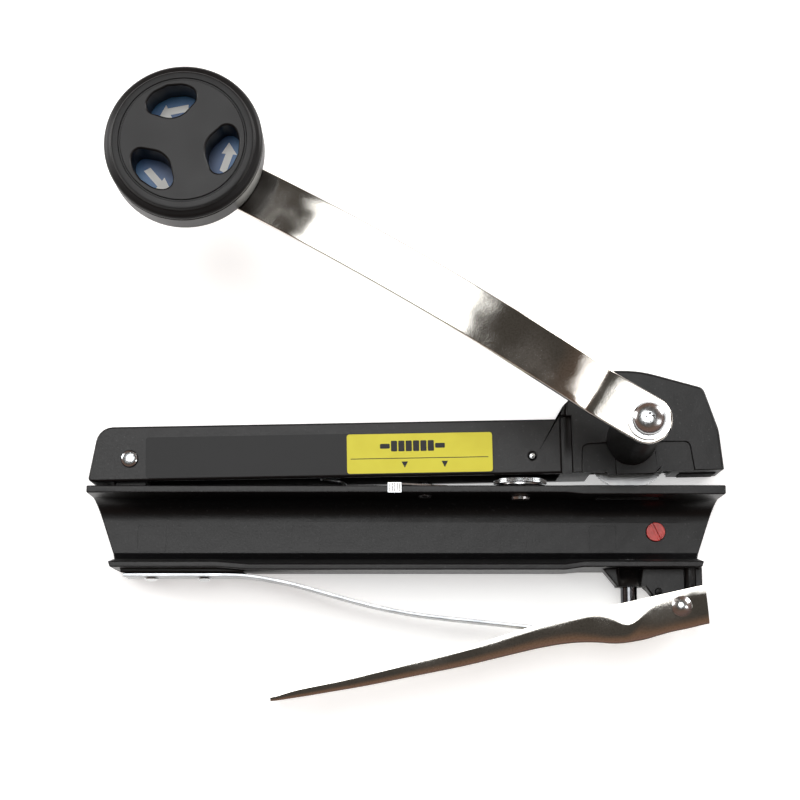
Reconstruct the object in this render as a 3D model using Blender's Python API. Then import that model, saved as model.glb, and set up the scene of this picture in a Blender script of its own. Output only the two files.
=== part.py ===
"""Hand cable cutter for armoured cable, lying on its back.

A cast channel holds the cable. A hollow cast arm hinges on the channel's left end and carries a cutting
wheel in its head, turned by a crank. A squeeze lever under the channel pushes a plunger up at the cable.

All sizes below are millimetres and all angles degrees; add_part scales them to metres.
X runs along the channel, Y up across it towards the arm, and Z from the back face to the open front.
"""

import math

import bmesh
import bpy
from mathutils import Matrix, Vector

MM = 0.001
GAP = 0.3  # clearance between pieces that touch
CUT = 1.0  # how far a cutter runs past the face that it opens

# Channel
CHANNEL_LENGTH = 260.0
CHANNEL_FRONT = 28.5
FLANGE_TOP = 17.0
FLANGE_THICKNESS = 3.0
FLANGE_STEP = 0.8  # extra thickness of the flange beside the cutting slot
FLOOR = 3.5
FLOOR_RADIUS = 9.0
FLOOR_LOW_EDGE = -8.5
LIP_TOP = -13.8
LIP_BOTTOM = -16.2
LIP_DROP = 1.1  # how much lower the lip runs in its middle
LIP_DROP_SPAN = (-76.8, -63.0, 64.7, 72.0)
END_SLANT = 0.342  # shortening of each end per mm of height

# Centre plane of the blade, the plunger and the lever
WORK_PLANE = 16.0

# Swinging arm, drawn with its bottom edge parallel to the flange
ARM_OPEN_ANGLE = 1.05
ARM_HINGE = (-112.7, 27.8)
ARM_WALL = 3.0
ARM_TOP = 41.2
ARM_BOTTOM = 18.8
ARM_LEFT = -129.8
ARM_FRONT = 28.5
HINGE_PIN_RADIUS = 2.6
HINGE_LUG_HALF_DEPTH = 7.0
HEAD_FRONT = 30.0
HEAD_LEFT = 66.0
HEAD_RIGHT = 129.5
HEAD_HEIGHT = 60.7
GROOVE = (63.6, 67.8)
GROOVE_DEPTH = 2.2
LABEL = (-106.0, 35.6)
LABEL_BOTTOM = 19.6
LABEL_TOP = 36.4
LABEL_THICKNESS = 0.4
COVER_THICKNESS = 2.4
COVER_RECESS = 0.2
SCREW_RADIUS = 1.5
SCREW_HEAD_RADIUS = 2.9
COVER_SCREW_ANGLES = (20.0, 90.0, 160.0)
CHAMBER_MOUTH = 16.5  # half the opening under the head that the wheel comes out of
PAD = (112.4, 127.2)
PAD_DEPTH = (10.4, 22.0)
PAD_BOTTOM = ARM_BOTTOM - 0.5
PAD_TOP = ARM_BOTTOM + 2.0
BACK_STEP = (9.0, 2.2)  # the head's underside is this much higher up to this depth from the back
POST = (42.0, 54.0)
ROLL_PIN = (51.6, 26.0)
ROLL_PIN_RADIUS = 1.1

# Crank, on the head's axis
SHAFT = (91.9, 31.55)
SHAFT_RADIUS = 4.0
BUSHING_WALL = 1.6
BOSS_TOP = 73.0
BOSS_BASE_RADIUS = 10.1
BOSS_TOP_RADIUS = 8.0
BLADE_RADIUS = 18.4
BLADE_THICKNESS = 1.4
BLADE_TEETH = 48
TOOTH_DEPTH = 0.6
COLLAR_RADIUS = 7.5
NUT_HEIGHT = 4.5
TAP_DEPTH = 14.0
CRANK_ANGLE = 149.7
CRANK_LENGTH = 204.1
CRANK_WIDTH = 18.6
CRANK_THICKNESS = 3.0
CRANK_TOP = 82.0
CRANK_FLAT = 21.0  # flat length before the first bend, and again short of the knob
CRANK_KNOB_FLAT = 27.0
CRANK_KNOB_RISE = 6.0
CRANK_BOW = 11.0
CRANK_SCREW_HEAD_RADIUS = 6.4
CRANK_SCREW_RADIUS = 2.3
CRANK_WASHER_RADIUS = 8.1

# Knob
KNOB_RADIUS = 30.1
KNOB_HEIGHT = 16.5
KNOB_WALL = 2.6
KNOB_FACE_RADIUS = 23.7
KNOB_AXLE_RADIUS = 4.0
KNOB_HUB_RADIUS = 7.4
KNOB_FLOOR = 2.4
KNOB_HOLES = 3
KNOB_HOLE_ANGLE = 106.0
# A finger hole: corners (x, y, radius), its blunt point towards the middle of the knob
KNOB_HOLE = [(7.8, 0, 3.4), (15.0, -11.6, 4.2), (20.6, -8.0, 4.2), (22.0, 0, 0)]
KNOB_HOLE += [(20.6, 8.0, 4.2), (15.0, 11.6, 4.2)]

# Squeeze lever and plunger
LEVER_PIVOT = (111.3, -31.8)
LEVER_PIN_RADIUS = 2.5
LEVER_PIN_HEAD_RADIUS = 4.2
LEVER_WIDTH = 20.0
LEVER_SHEET = 1.5
# Side view of the lever, around its pivot: the top edge from right to left, then the web from left to right
LEVER_TOP_EDGE = [(10.2, 8.8), (-25.0, 0.9), (-47.5, -4.0), (-81.0, -14.6), (-108.0, -21.5), (-136.0, -28.7)]
LEVER_TOP_EDGE += [(-156.0, -32.8), (-165.5, -36.4)]
LEVER_WEB = [(-165.5, -38.0), (-152.0, -36.0), (-128.0, -32.0), (-87.5, -24.0), (-58.0, -17.0)]
LEVER_WEB += [(-47.5, -15.2), (-39.8, -14.5), (-32.0, -14.7), (-26.7, -15.4), (-16.3, -14.0)]
LEVER_WEB += [(-6.0, -10.8), (5.5, -8.2), (9.6, -7.0), (11.4, -4.4)]
HOLLOW_END = -128.0
BRACKET_HALF_DEPTH = 4.0
BRACKET_EYE_RADIUS = 6.0
BRACKET_RIB = (4.5, 2.3)  # place right of the pivot, and radius
PLUNGER_X = 91.2
PLUNGER_RADIUS = 3.4
PLUNGER_TOP = -12.6
BOSS_LOW = -23.6
STOP_PIN = (LEVER_PIVOT[0] - 8.4, BOSS_LOW - 2.0)
STOP_PIN_RADIUS = 1.3
PLUNGER_BOSS_TOP_RADIUS = 6.9
PLUNGER_BOSS_LOW_RADIUS = 5.8

# Return leaf spring
LEAF_WIDTH = 15.0
LEAF_THICKNESS = 1.2
LEAF_RIVETS = (-104.3, -82.5)
LEAF_PAD = (-116.0, -66.0)
LEAF_RIVET_RADIUS = 1.8

# Cable size selector and depth wheel, on top of the flange
SELECTOR = (7.9, 20.0)
SELECTOR_SHEET = 0.8
SELECTOR_RIVET_RADIUS = 1.9
SELECTOR_RIVET_HEAD_RADIUS = 3.1
SELECTOR_TAB_CENTRE = -4.6
SELECTOR_TAB_WIDTH = 5.6
SELECTOR_TAB_LENGTH = 4.2
WHEEL = (47.4, 14.2)
WHEEL_RADIUS = 11.0
WHEEL_HEIGHT = 3.3
WHEEL_STUD_RADIUS = 2.4
RETURN_SPRING_X = -30.0
RETURN_SPRING_RADIUS = 5.0
RETURN_SPRING_WIRE = 1.2
RETURN_SPRING_TURNS = 6
SET_SCREW = (104.6, 0.5)
SET_SCREW_RADIUS = 3.9

FLANGE_UNDER = FLANGE_TOP - FLANGE_THICKNESS
HALF_LENGTH = CHANNEL_LENGTH / 2


def start_clean():
    for obj in list(bpy.data.objects):
        bpy.data.objects.remove(obj, do_unlink=True)


def material(name, colour, roughness, metallic=0.0):
    """A Principled material, with its colour in linear values."""
    made = bpy.data.materials.new(name)
    made.use_nodes = True
    shader = made.node_tree.nodes["Principled BSDF"]
    shader.inputs["Base Color"].default_value = (*colour, 1)
    shader.inputs["Roughness"].default_value = roughness
    shader.inputs["Metallic"].default_value = metallic
    return made


def frame_at(name, home, angle=0.0, parent_point=None):
    """An empty on a joint's axis. Pieces hung on it are drawn around home and turned by angle."""
    empty = bpy.data.objects.new(name, None)
    bpy.context.scene.collection.objects.link(empty)
    empty.location = Vector(parent_point or home) * MM
    empty.rotation_euler = (0, 0, math.radians(angle))
    return {"empty": empty, "home": Vector(home)}


def add_part(name, bm, finish=None, frame=None, cutter=False):
    """Makes an object from a bmesh in millimetres, hung on the frame's empty."""
    if frame:
        bmesh.ops.translate(bm, vec=-frame["home"], verts=bm.verts)
    bmesh.ops.scale(bm, vec=(MM, MM, MM), verts=bm.verts)
    mesh = bpy.data.meshes.new(name)
    bm.to_mesh(mesh)
    bm.free()
    obj = bpy.data.objects.new(name, mesh)
    bpy.context.scene.collection.objects.link(obj)
    if frame:
        obj.parent = frame["empty"]
    if cutter:
        obj.hide_render = True
        obj.display_type = "WIRE"
    else:
        mesh.materials.append(finish)
        mesh.shade_smooth()
        mesh.set_sharp_from_angle(angle=math.radians(35))
    return obj


def combine(obj, bm, operation, frame=None):
    """Joins the shape to the object, or cuts it out of it."""
    cutter = add_part(f"{obj.name}_{len(obj.modifiers)}_{operation.lower()}", bm, None, frame, True)
    modifier = obj.modifiers.new(cutter.name, "BOOLEAN")
    modifier.operation = operation
    modifier.object = cutter


def on_plane(point, height, plane):
    a, b = point
    if plane == "XY":
        return (a, b, height)
    if plane == "YZ":
        return (height, a, b)
    return (a, height, b)


def prism(outline, low, high, plane="XY"):
    """A solid with this outline on the plane, from low to high along the third axis."""
    bm = bmesh.new()
    face = bm.faces.new([bm.verts.new(on_plane(point, low, plane)) for point in outline])
    grown = bmesh.ops.extrude_face_region(bm, geom=[face])["geom"]
    top = [item for item in grown if isinstance(item, bmesh.types.BMVert)]
    bmesh.ops.translate(bm, vec=on_plane((0, 0), high - low, plane), verts=top)
    bmesh.ops.recalc_face_normals(bm, faces=bm.faces)
    return bm


def box(x, y, z):
    return prism([(x[0], y[0]), (x[1], y[0]), (x[1], y[1]), (x[0], y[1])], z[0], z[1])


def axis_turn(axis):
    """Turns +Z to the axis."""
    if axis == "Y":
        return Matrix.Rotation(math.radians(-90), 4, "X")
    return Matrix.Identity(4)


def cylinder(centre, radius, low, high, axis="Z", end_radius=None, sides=32):
    """A round solid from low to high along the axis; centre gives the other two coordinates."""
    bm = bmesh.new()
    bmesh.ops.create_cone(
        bm,
        cap_ends=True,
        segments=sides,
        radius1=radius,
        radius2=radius if end_radius is None else end_radius,
        depth=high - low,
    )
    middle = on_plane(centre, (low + high) / 2, "XY" if axis == "Z" else "XZ")
    bm.transform(Matrix.Translation(middle) @ axis_turn(axis))
    return bm


def turned(profile, centre, axis="Z", ring=False, sides=32):
    """A solid of revolution of (radius, height) points. A ring's profile is a closed loop off the axis."""
    bm = bmesh.new()
    points = [bm.verts.new((radius, 0, height)) for radius, height in profile]
    edges = [bm.edges.new(pair) for pair in zip(points, points[1:])]
    if ring:
        edges.append(bm.edges.new((points[-1], points[0])))
    full = math.radians(360)
    bmesh.ops.spin(
        bm, geom=points + edges, cent=(0, 0, 0), axis=(0, 0, 1), angle=full, steps=sides, use_merge=True
    )
    bmesh.ops.remove_doubles(bm, verts=bm.verts, dist=0.001)
    bmesh.ops.recalc_face_normals(bm, faces=bm.faces)
    bm.transform(Matrix.Translation(on_plane(centre, 0, "XY" if axis == "Z" else "XZ")) @ axis_turn(axis))
    return bm


def arc(centre, radius, start, end, steps):
    """Points along an arc, both ends included."""
    angles = [math.radians(start + (end - start) * step / steps) for step in range(steps + 1)]
    return [(centre[0] + radius * math.cos(a), centre[1] + radius * math.sin(a)) for a in angles]


def rounded(corners, steps=4):
    """An outline whose corners (x, y, radius) are rounded by arcs."""
    outline = []
    for index, (x, y, radius) in enumerate(corners):
        here = Vector((x, y))
        back = (Vector(corners[index - 1][:2]) - here).normalized()
        ahead = (Vector(corners[(index + 1) % len(corners)][:2]) - here).normalized()
        if not radius:
            outline.append((x, y))
            continue
        half = back.angle(ahead) / 2
        middle = here + (back + ahead).normalized() * radius / math.sin(half)
        first = here + back * radius / math.tan(half) - middle
        last = here + ahead * radius / math.tan(half) - middle
        sweep = first.angle_signed(last)
        for step in range(steps + 1):
            spoke = first.copy()
            spoke.rotate(Matrix.Rotation(-sweep * step / steps, 2))
            outline.append(tuple(middle + spoke))
    return outline


def inset(outline, distance):
    """The outline moved inwards by the distance. It runs anticlockwise."""
    moved = []
    for index, point in enumerate(outline):
        here = Vector(point)
        into = (here - Vector(outline[index - 1])).normalized()
        out = (Vector(outline[(index + 1) % len(outline)]) - here).normalized()
        normals = [Vector((-side.y, side.x)) for side in (into, out)]
        middle = (normals[0] + normals[1]).normalized()
        moved.append(tuple(here + middle * distance / middle.dot(normals[0])))
    return moved


def slice_off(bm, point, normal):
    """Removes what lies past the plane and closes the cut."""
    cut = bmesh.ops.bisect_plane(
        bm,
        geom=bm.verts[:] + bm.edges[:] + bm.faces[:],
        dist=0.0001,
        plane_co=point,
        plane_no=normal,
        clear_outer=True,
    )
    edges = [item for item in cut["geom_cut"] if isinstance(item, bmesh.types.BMEdge)]
    bmesh.ops.edgenet_fill(bm, edges=edges)
    bmesh.ops.recalc_face_normals(bm, faces=bm.faces)


def strip(path, half_width, thickness):
    """A bent strip: path holds (along, height) points, half_width(along) the half width at each.

    The strip lies in the XZ plane of its frame, its width along Y, and the path is its top side.
    """
    bm = bmesh.new()
    rows = []
    for index, (along, height) in enumerate(path):
        before = Vector(path[max(index - 1, 0)])
        after = Vector(path[min(index + 1, len(path) - 1)])
        side = (after - before).normalized()
        under = Vector((along, height)) - Vector((-side.y, side.x)) * thickness
        half = half_width(along)
        corners = [(along, -half, height), (along, half, height)]
        corners += [(under.x, half, under.y), (under.x, -half, under.y)]
        rows.append([bm.verts.new(corner) for corner in corners])
    for first, second in zip(rows, rows[1:]):
        for side in range(4):
            near, far = side, (side + 1) % 4
            bm.faces.new((first[near], first[far], second[far], second[near]))
    bm.faces.new(rows[0])
    bm.faces.new(reversed(rows[-1]))
    bmesh.ops.recalc_face_normals(bm, faces=bm.faces)
    return bm


start_clean()
black_cast = material("black_cast_enamel", (0.012, 0.012, 0.013), 0.45)
nickel = material("nickel_plate", (0.72, 0.70, 0.66), 0.12, 1.0)
steel = material("bright_steel", (0.60, 0.60, 0.62), 0.25, 1.0)
spring_steel = material("spring_steel", (0.50, 0.51, 0.53), 0.30, 1.0)
bronze = material("sintered_bronze", (0.45, 0.30, 0.14), 0.45, 1.0)
black_plastic = material("black_moulded_plastic", (0.015, 0.015, 0.016), 0.38)
rubber = material("black_rubber", (0.010, 0.010, 0.010), 0.80)
red_paint = material("red_paint", (0.70, 0.03, 0.01), 0.35)
blue_print = material("blue_printed_card", (0.02, 0.12, 0.35), 0.50)
yellow_label = material("printed_foil_label", (0.85, 0.65, 0.05), 0.30)

open_turn = Matrix.Rotation(math.radians(ARM_OPEN_ANGLE), 2)
shaft_open = Vector(ARM_HINGE) + open_turn @ (Vector(SHAFT) - Vector(ARM_HINGE))
crank_direction = Matrix.Rotation(math.radians(CRANK_ANGLE), 2) @ Vector((1, 0))
knob_centre = shaft_open + crank_direction * CRANK_LENGTH

arm_frame = frame_at("arm_hinge_axis", (*ARM_HINGE, 0), ARM_OPEN_ANGLE)
crank_frame = frame_at("crank_axis", (0, 0, 0), CRANK_ANGLE, (*shaft_open, 0))
knob_frame = frame_at("knob_axis", (0, 0, 0), 0, (*knob_centre, 0))
lever_frame = frame_at("lever_axis", (0, 0, 0), 0, (*LEVER_PIVOT, 0))
plunger_frame = frame_at("plunger_axis", (PLUNGER_X, 0, WORK_PLANE))
selector_frame = frame_at("selector_axis", (SELECTOR[0], 0, SELECTOR[1]))
wheel_frame = frame_at("wheel_axis", (WHEEL[0], 0, WHEEL[1]))


# Channel ---------------------------------------------------------------------------------------------


def channel_section(drop, step):
    """The channel's section as (Y, Z) points: drop lowers the lip, step thickens the flange."""
    under = FLANGE_UNDER - step
    corner = (under - FLOOR_RADIUS, FLOOR + FLOOR_RADIUS)
    points = [(FLANGE_TOP, 0), (FLANGE_TOP, CHANNEL_FRONT + step), (under, CHANNEL_FRONT + step)]
    points += arc(corner, FLOOR_RADIUS, 0, -90, 6)
    points += [(FLOOR_LOW_EDGE, FLOOR), (FLOOR_LOW_EDGE - 2.3, FLOOR + 2.5)]
    points += [(LIP_TOP - drop, CHANNEL_FRONT), (LIP_BOTTOM - drop, CHANNEL_FRONT)]
    points += [(LIP_BOTTOM - drop, FLOOR + 2.5), (LIP_BOTTOM, 0)]
    return points


def channel_trough():
    """The trough, lofted along X through its sections, with its ends slanted below the flange."""
    stations = [(-HALF_LENGTH - CUT, 0, 0), (LIP_DROP_SPAN[0], 0, 0), (LIP_DROP_SPAN[1], LIP_DROP, 0)]
    stations += [(LIP_DROP_SPAN[2], LIP_DROP, 0), (LIP_DROP_SPAN[3], 0, FLANGE_STEP)]
    stations += [(HALF_LENGTH + CUT, 0, FLANGE_STEP)]
    bm = bmesh.new()
    rows = []
    for x, drop, step in stations:
        rows.append([bm.verts.new((x, y, z)) for y, z in channel_section(drop, step)])
    for first, second in zip(rows, rows[1:]):
        for index in range(len(first)):
            bm.faces.new((first[index - 1], first[index], second[index], second[index - 1]))
    bm.faces.new(rows[0])
    bm.faces.new(reversed(rows[-1]))
    bmesh.ops.recalc_face_normals(bm, faces=bm.faces)
    for side in (-1, 1):
        slice_off(bm, (side * HALF_LENGTH, 0, 0), (side, 0, 0))
        slice_off(bm, (side * HALF_LENGTH, FLANGE_UNDER, 0), (side, -END_SLANT, 0))
    return bm


channel = add_part("channel_body", channel_trough(), black_cast)

# Hinge lug that stands on the flange inside the arm
lug_depth = (WORK_PLANE - HINGE_LUG_HALF_DEPTH, WORK_PLANE + HINGE_LUG_HALF_DEPTH)
lug_outline = [(ARM_HINGE[0] - 6.5, FLANGE_TOP - 1), (ARM_HINGE[0] + 6.5, FLANGE_TOP - 1)]
lug_outline += arc(ARM_HINGE, 5.6, 0, 180, 10)
combine(channel, prism(lug_outline, *lug_depth), "UNION")
combine(
    channel, cylinder(ARM_HINGE, HINGE_PIN_RADIUS + GAP, lug_depth[0] - CUT, lug_depth[1] + CUT), "DIFFERENCE"
)

# Pad for the leaf spring
leaf_depth = (WORK_PLANE - LEAF_WIDTH / 2, WORK_PLANE + LEAF_WIDTH / 2)
leaf_seat = LIP_BOTTOM - LIP_DROP - 0.7
combine(channel, box(LEAF_PAD, (leaf_seat, LIP_BOTTOM + 1), leaf_depth), "UNION")
for x in LEAF_RIVETS:
    hole = cylinder((x, WORK_PLANE), LEAF_RIVET_RADIUS + GAP, leaf_seat - CUT, leaf_seat + 2.6, "Y", sides=16)
    combine(channel, hole, "DIFFERENCE")

# Lever bracket, plunger boss and its bore
bracket_depth = (WORK_PLANE - BRACKET_HALF_DEPTH, WORK_PLANE + BRACKET_HALF_DEPTH)
pivot_x, pivot_y = LEVER_PIVOT
bracket_outline = [(pivot_x - 31.9, LIP_BOTTOM + 1), (pivot_x - 25.3, BOSS_LOW + 0.3)]
bracket_outline += [(pivot_x - 13.7, BOSS_LOW + 0.1), (pivot_x - 10.5, BOSS_LOW - 4.0)]
bracket_outline += arc(LEVER_PIVOT, BRACKET_EYE_RADIUS, 190, 350, 8)
bracket_outline += [(pivot_x + 9.6, pivot_y + 4.0), (pivot_x + 9.6, LIP_BOTTOM + 1)]
combine(channel, prism(bracket_outline, *bracket_depth), "UNION")
rib_place = (pivot_x + BRACKET_RIB[0], bracket_depth[1] - 0.7)
rib = cylinder(rib_place, BRACKET_RIB[1], pivot_y + 7.0, LIP_BOTTOM + 1, "Y", sides=20)
combine(channel, rib, "UNION")
plunger_boss = cylinder(
    (PLUNGER_X, WORK_PLANE), PLUNGER_BOSS_LOW_RADIUS, BOSS_LOW, LIP_BOTTOM + 1, "Y", PLUNGER_BOSS_TOP_RADIUS
)
combine(channel, plunger_boss, "UNION")
bore = cylinder((PLUNGER_X, WORK_PLANE), PLUNGER_RADIUS + GAP, BOSS_LOW - CUT, PLUNGER_TOP + 4, "Y")
combine(channel, bore, "DIFFERENCE")
pin_bore = cylinder(LEVER_PIVOT, LEVER_PIN_RADIUS + GAP, bracket_depth[0] - CUT, bracket_depth[1] + CUT)
combine(channel, pin_bore, "DIFFERENCE")
pin_bore = cylinder(STOP_PIN, STOP_PIN_RADIUS + GAP, bracket_depth[1] - 5, bracket_depth[1] + CUT, sides=16)
combine(channel, pin_bore, "DIFFERENCE")

# Slot in the flange for the cutting wheel, and the holes for what stands on the flange and in the floor
slot_half = math.sqrt(BLADE_RADIUS**2 - (SHAFT[1] - FLANGE_TOP) ** 2) + 2.0
slot = box((SHAFT[0] - slot_half, SHAFT[0] + slot_half), (FLANGE_UNDER - 3, FLANGE_TOP + CUT), (12, 20))
combine(channel, slot, "DIFFERENCE")
for place, radius in ((SELECTOR, SELECTOR_RIVET_RADIUS), (WHEEL, WHEEL_STUD_RADIUS)):
    hole = cylinder(place, radius + GAP, FLANGE_UNDER - 5, FLANGE_TOP + CUT, "Y", sides=20)
    combine(channel, hole, "DIFFERENCE")
combine(channel, cylinder(SET_SCREW, SET_SCREW_RADIUS + GAP, 1.2, FLOOR + CUT), "DIFFERENCE")

set_screw = cylinder(SET_SCREW, SET_SCREW_RADIUS, 1.2 + GAP, FLOOR + 1.0)
set_screw = add_part("red_set_screw", set_screw, red_paint)
slot_turn = Matrix.Rotation(math.radians(-65), 4, "Z")
driver_slot = box((-5, 5), (-0.55, 0.55), (FLOOR, FLOOR + 2))
driver_slot.transform(Matrix.Translation((*SET_SCREW, 0)) @ slot_turn)
combine(set_screw, driver_slot, "DIFFERENCE")

# Leaf spring and its rivets
LEAF_TAIL = (-115.0, leaf_seat - GAP)
leaf_route = [LEAF_TAIL, (-67.0, leaf_seat - GAP)]
leaf_route += arc((-67.0, leaf_seat - GAP - 60.0), 60.0, 88, 74, 4)
leaf_route += [(-24.7, -28.2), (-14.0, -31.2), (-2.4, -33.6), (8.0, -35.1), (17.8, -36.2), (38.0, -38.2)]
leaf_route += [(54.1, -40.0), (66.0, -41.5), (74.0, -42.6)]
# The route is drawn from tail to tip, and the strip stands on edge along the channel.
leaf = strip(leaf_route, lambda along: LEAF_WIDTH / 2, LEAF_THICKNESS)
leaf.transform(Matrix.Translation((0, 0, WORK_PLANE)) @ Matrix.Rotation(math.radians(-90), 4, "X"))
leaf_part = add_part("return_leaf_spring", leaf, spring_steel)
for x in LEAF_RIVETS:
    hole = cylinder((x, WORK_PLANE), LEAF_RIVET_RADIUS + GAP, leaf_seat - 4, leaf_seat + 2, "Y", sides=16)
    combine(leaf_part, hole, "DIFFERENCE")
leaf_under = leaf_seat - GAP - LEAF_THICKNESS - GAP
for number, x in enumerate(LEAF_RIVETS, 1):
    profile = [(0, leaf_under - 1.4), (1.8, leaf_under - 1.2), (2.9, leaf_under - 0.4), (3.0, leaf_under)]
    profile += [(LEAF_RIVET_RADIUS, leaf_under), (LEAF_RIVET_RADIUS, leaf_seat + 2.2), (0, leaf_seat + 2.2)]
    add_part(f"leaf_spring_rivet_{number}", turned(profile, (x, WORK_PLANE), "Y", sides=20), steel)

# Pins of the arm and the lever
pin_low = 0.4
pin_high = ARM_FRONT + GAP
profile = [(0, pin_low), (HINGE_PIN_RADIUS, pin_low), (HINGE_PIN_RADIUS, pin_high)]
profile += [(3.3, pin_high), (3.2, pin_high + 0.6), (2.4, pin_high + 1.1), (0, pin_high + 1.3)]
add_part("arm_hinge_pin", turned(profile, ARM_HINGE), steel)
pin_low = WORK_PLANE - LEVER_WIDTH / 2 - GAP
pin_high = WORK_PLANE + LEVER_WIDTH / 2 + GAP
head = LEVER_PIN_HEAD_RADIUS
profile = [(0, pin_low - 1.4), (head - 1.4, pin_low - 1.2), (head, pin_low - 0.3), (head, pin_low)]
profile += [(LEVER_PIN_RADIUS, pin_low), (LEVER_PIN_RADIUS, pin_high), (head, pin_high)]
profile += [(head - 0.2, pin_high + 0.7), (head - 1.6, pin_high + 1.7), (0, pin_high + 2.1)]
add_part("lever_pivot_pin", turned(profile, LEVER_PIVOT), steel)
profile = [(0, bracket_depth[1] - 4.6), (STOP_PIN_RADIUS, bracket_depth[1] - 4.6)]
profile += [(STOP_PIN_RADIUS, bracket_depth[1] + 1.0), (0, bracket_depth[1] + 1.4)]
add_part("lever_stop_pin", turned(profile, STOP_PIN, sides=16), black_cast)

# Selector rivet: a head inside the trough and one above the plate
plate_low = FLANGE_TOP + GAP
plate_high = plate_low + SELECTOR_SHEET
trough_roof = FLANGE_UNDER - GAP
rivet, head = SELECTOR_RIVET_RADIUS, SELECTOR_RIVET_HEAD_RADIUS
profile = [(0, trough_roof - 1.0), (head - 0.8, trough_roof - 0.9), (head - 0.1, trough_roof)]
profile += [(rivet, trough_roof), (rivet, plate_high + GAP), (head, plate_high + GAP)]
profile += [(head - 0.5, plate_high + 1.1), (0, plate_high + 1.4)]
add_part("selector_rivet", turned(profile, SELECTOR, "Y", sides=24), steel)

# Threaded stud of the depth wheel, headed inside the trough
wheel_low = FLANGE_TOP + 0.9
wheel_high = wheel_low + WHEEL_HEIGHT
profile = [(0, trough_roof - 1.2), (4.0, trough_roof - 1.0), (4.2, trough_roof)]
profile += [(WHEEL_STUD_RADIUS, trough_roof), (WHEEL_STUD_RADIUS, wheel_high + 0.2), (0, wheel_high + 0.2)]
add_part("depth_wheel_stud", turned(profile, WHEEL, "Y", sides=24), steel)


def coil(radius, wire, turns, low, high, steps=14, sides=6):
    """A coil spring along Y, as a tube swept round a helix with closed ends."""
    bm = bmesh.new()
    count = turns * steps
    travel = high - low - wire
    rings = []
    for step in range(count + 1):
        angle = math.radians(360 * step / steps)
        outward = Vector((math.cos(angle), 0, math.sin(angle)))
        # The end turns lie flat, and the pitch is even between them.
        share = min(max((step / steps - 0.75) / (turns - 1.5), 0), 1)
        centre = outward * radius + Vector((0, low + wire / 2 + travel * share, 0))
        ring = []
        for side in range(sides):
            spoke = math.radians(360 * side / sides)
            offset = outward * math.cos(spoke) + Vector((0, math.sin(spoke), 0))
            ring.append(bm.verts.new(centre + offset * wire / 2))
        rings.append(ring)
    for first, second in zip(rings, rings[1:]):
        for side in range(sides):
            bm.faces.new((first[side - 1], first[side], second[side], second[side - 1]))
    bm.faces.new(rings[0])
    bm.faces.new(reversed(rings[-1]))
    bmesh.ops.recalc_face_normals(bm, faces=bm.faces)
    return bm


spring_high = ARM_TOP - ARM_WALL + (RETURN_SPRING_X - ARM_HINGE[0]) * math.sin(math.radians(ARM_OPEN_ANGLE))
spring_ends = (FLANGE_TOP + GAP, spring_high - GAP)
spring = coil(RETURN_SPRING_RADIUS, RETURN_SPRING_WIRE, RETURN_SPRING_TURNS, *spring_ends)
bmesh.ops.translate(spring, vec=(RETURN_SPRING_X, 0, 14.0), verts=spring.verts)
add_part("arm_return_spring", spring, spring_steel)


# Arm casting -----------------------------------------------------------------------------------------

casting_outline = rounded(
    [
        (ARM_LEFT, ARM_BOTTOM, 1.5),
        (SHAFT[0] - 10.4, ARM_BOTTOM, 0),
        (SHAFT[0] - 9.6, ARM_BOTTOM - 1.2, 0),
        (SHAFT[0] + 9.6, ARM_BOTTOM - 1.2, 0),
        (SHAFT[0] + 10.4, ARM_BOTTOM, 0),
        (HEAD_RIGHT, ARM_BOTTOM, 0.8),
        (HEAD_RIGHT - 1.4, ARM_BOTTOM + 16.5, 20.0),
        (HEAD_RIGHT - 7.0, HEAD_HEIGHT - 7.8, 3.5),
        (SHAFT[0] + 4.2, HEAD_HEIGHT, 50.0),
        (SHAFT[0] - 12.8, HEAD_HEIGHT, 16.0),
        (HEAD_LEFT - 1.6, ARM_TOP + 5.0, 2.0),
        (HEAD_LEFT - 4.6, ARM_TOP, 0),
        (ARM_LEFT + 4.4, ARM_TOP, 7.0),
    ],
    steps=5,
)
casting = add_part("saw_arm_casting", prism(casting_outline, 0, HEAD_FRONT), black_cast, arm_frame)
beam_front = box(
    (ARM_LEFT - CUT, (GROOVE[0] + GROOVE[1]) / 2),
    (ARM_BOTTOM - CUT, HEAD_HEIGHT),
    (ARM_FRONT, HEAD_FRONT + CUT),
)
combine(casting, beam_front, "DIFFERENCE", arm_frame)
boss = cylinder(SHAFT, BOSS_BASE_RADIUS, HEAD_FRONT - 1, BOSS_TOP, end_radius=BOSS_TOP_RADIUS, sides=40)
combine(casting, boss, "UNION", arm_frame)

# Hollow of the beam, open underneath, and hollow of the head, open underneath and at the back
beam_hollow = box(
    (ARM_LEFT + 7.5, HEAD_LEFT - 3.0),
    (ARM_BOTTOM - CUT, ARM_TOP - ARM_WALL),
    (ARM_WALL, ARM_FRONT - ARM_WALL),
)
combine(casting, beam_hollow, "DIFFERENCE", arm_frame)
chamber_radius = BLADE_RADIUS + 1.8
chamber = [(SHAFT[0] - CHAMBER_MOUTH, ARM_BOTTOM - 3), (SHAFT[0] + CHAMBER_MOUTH, ARM_BOTTOM - 3)]
chamber += arc(SHAFT, chamber_radius, -35, 215, 26)
combine(casting, prism(chamber, -CUT, HEAD_FRONT - ARM_WALL), "DIFFERENCE", arm_frame)

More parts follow.
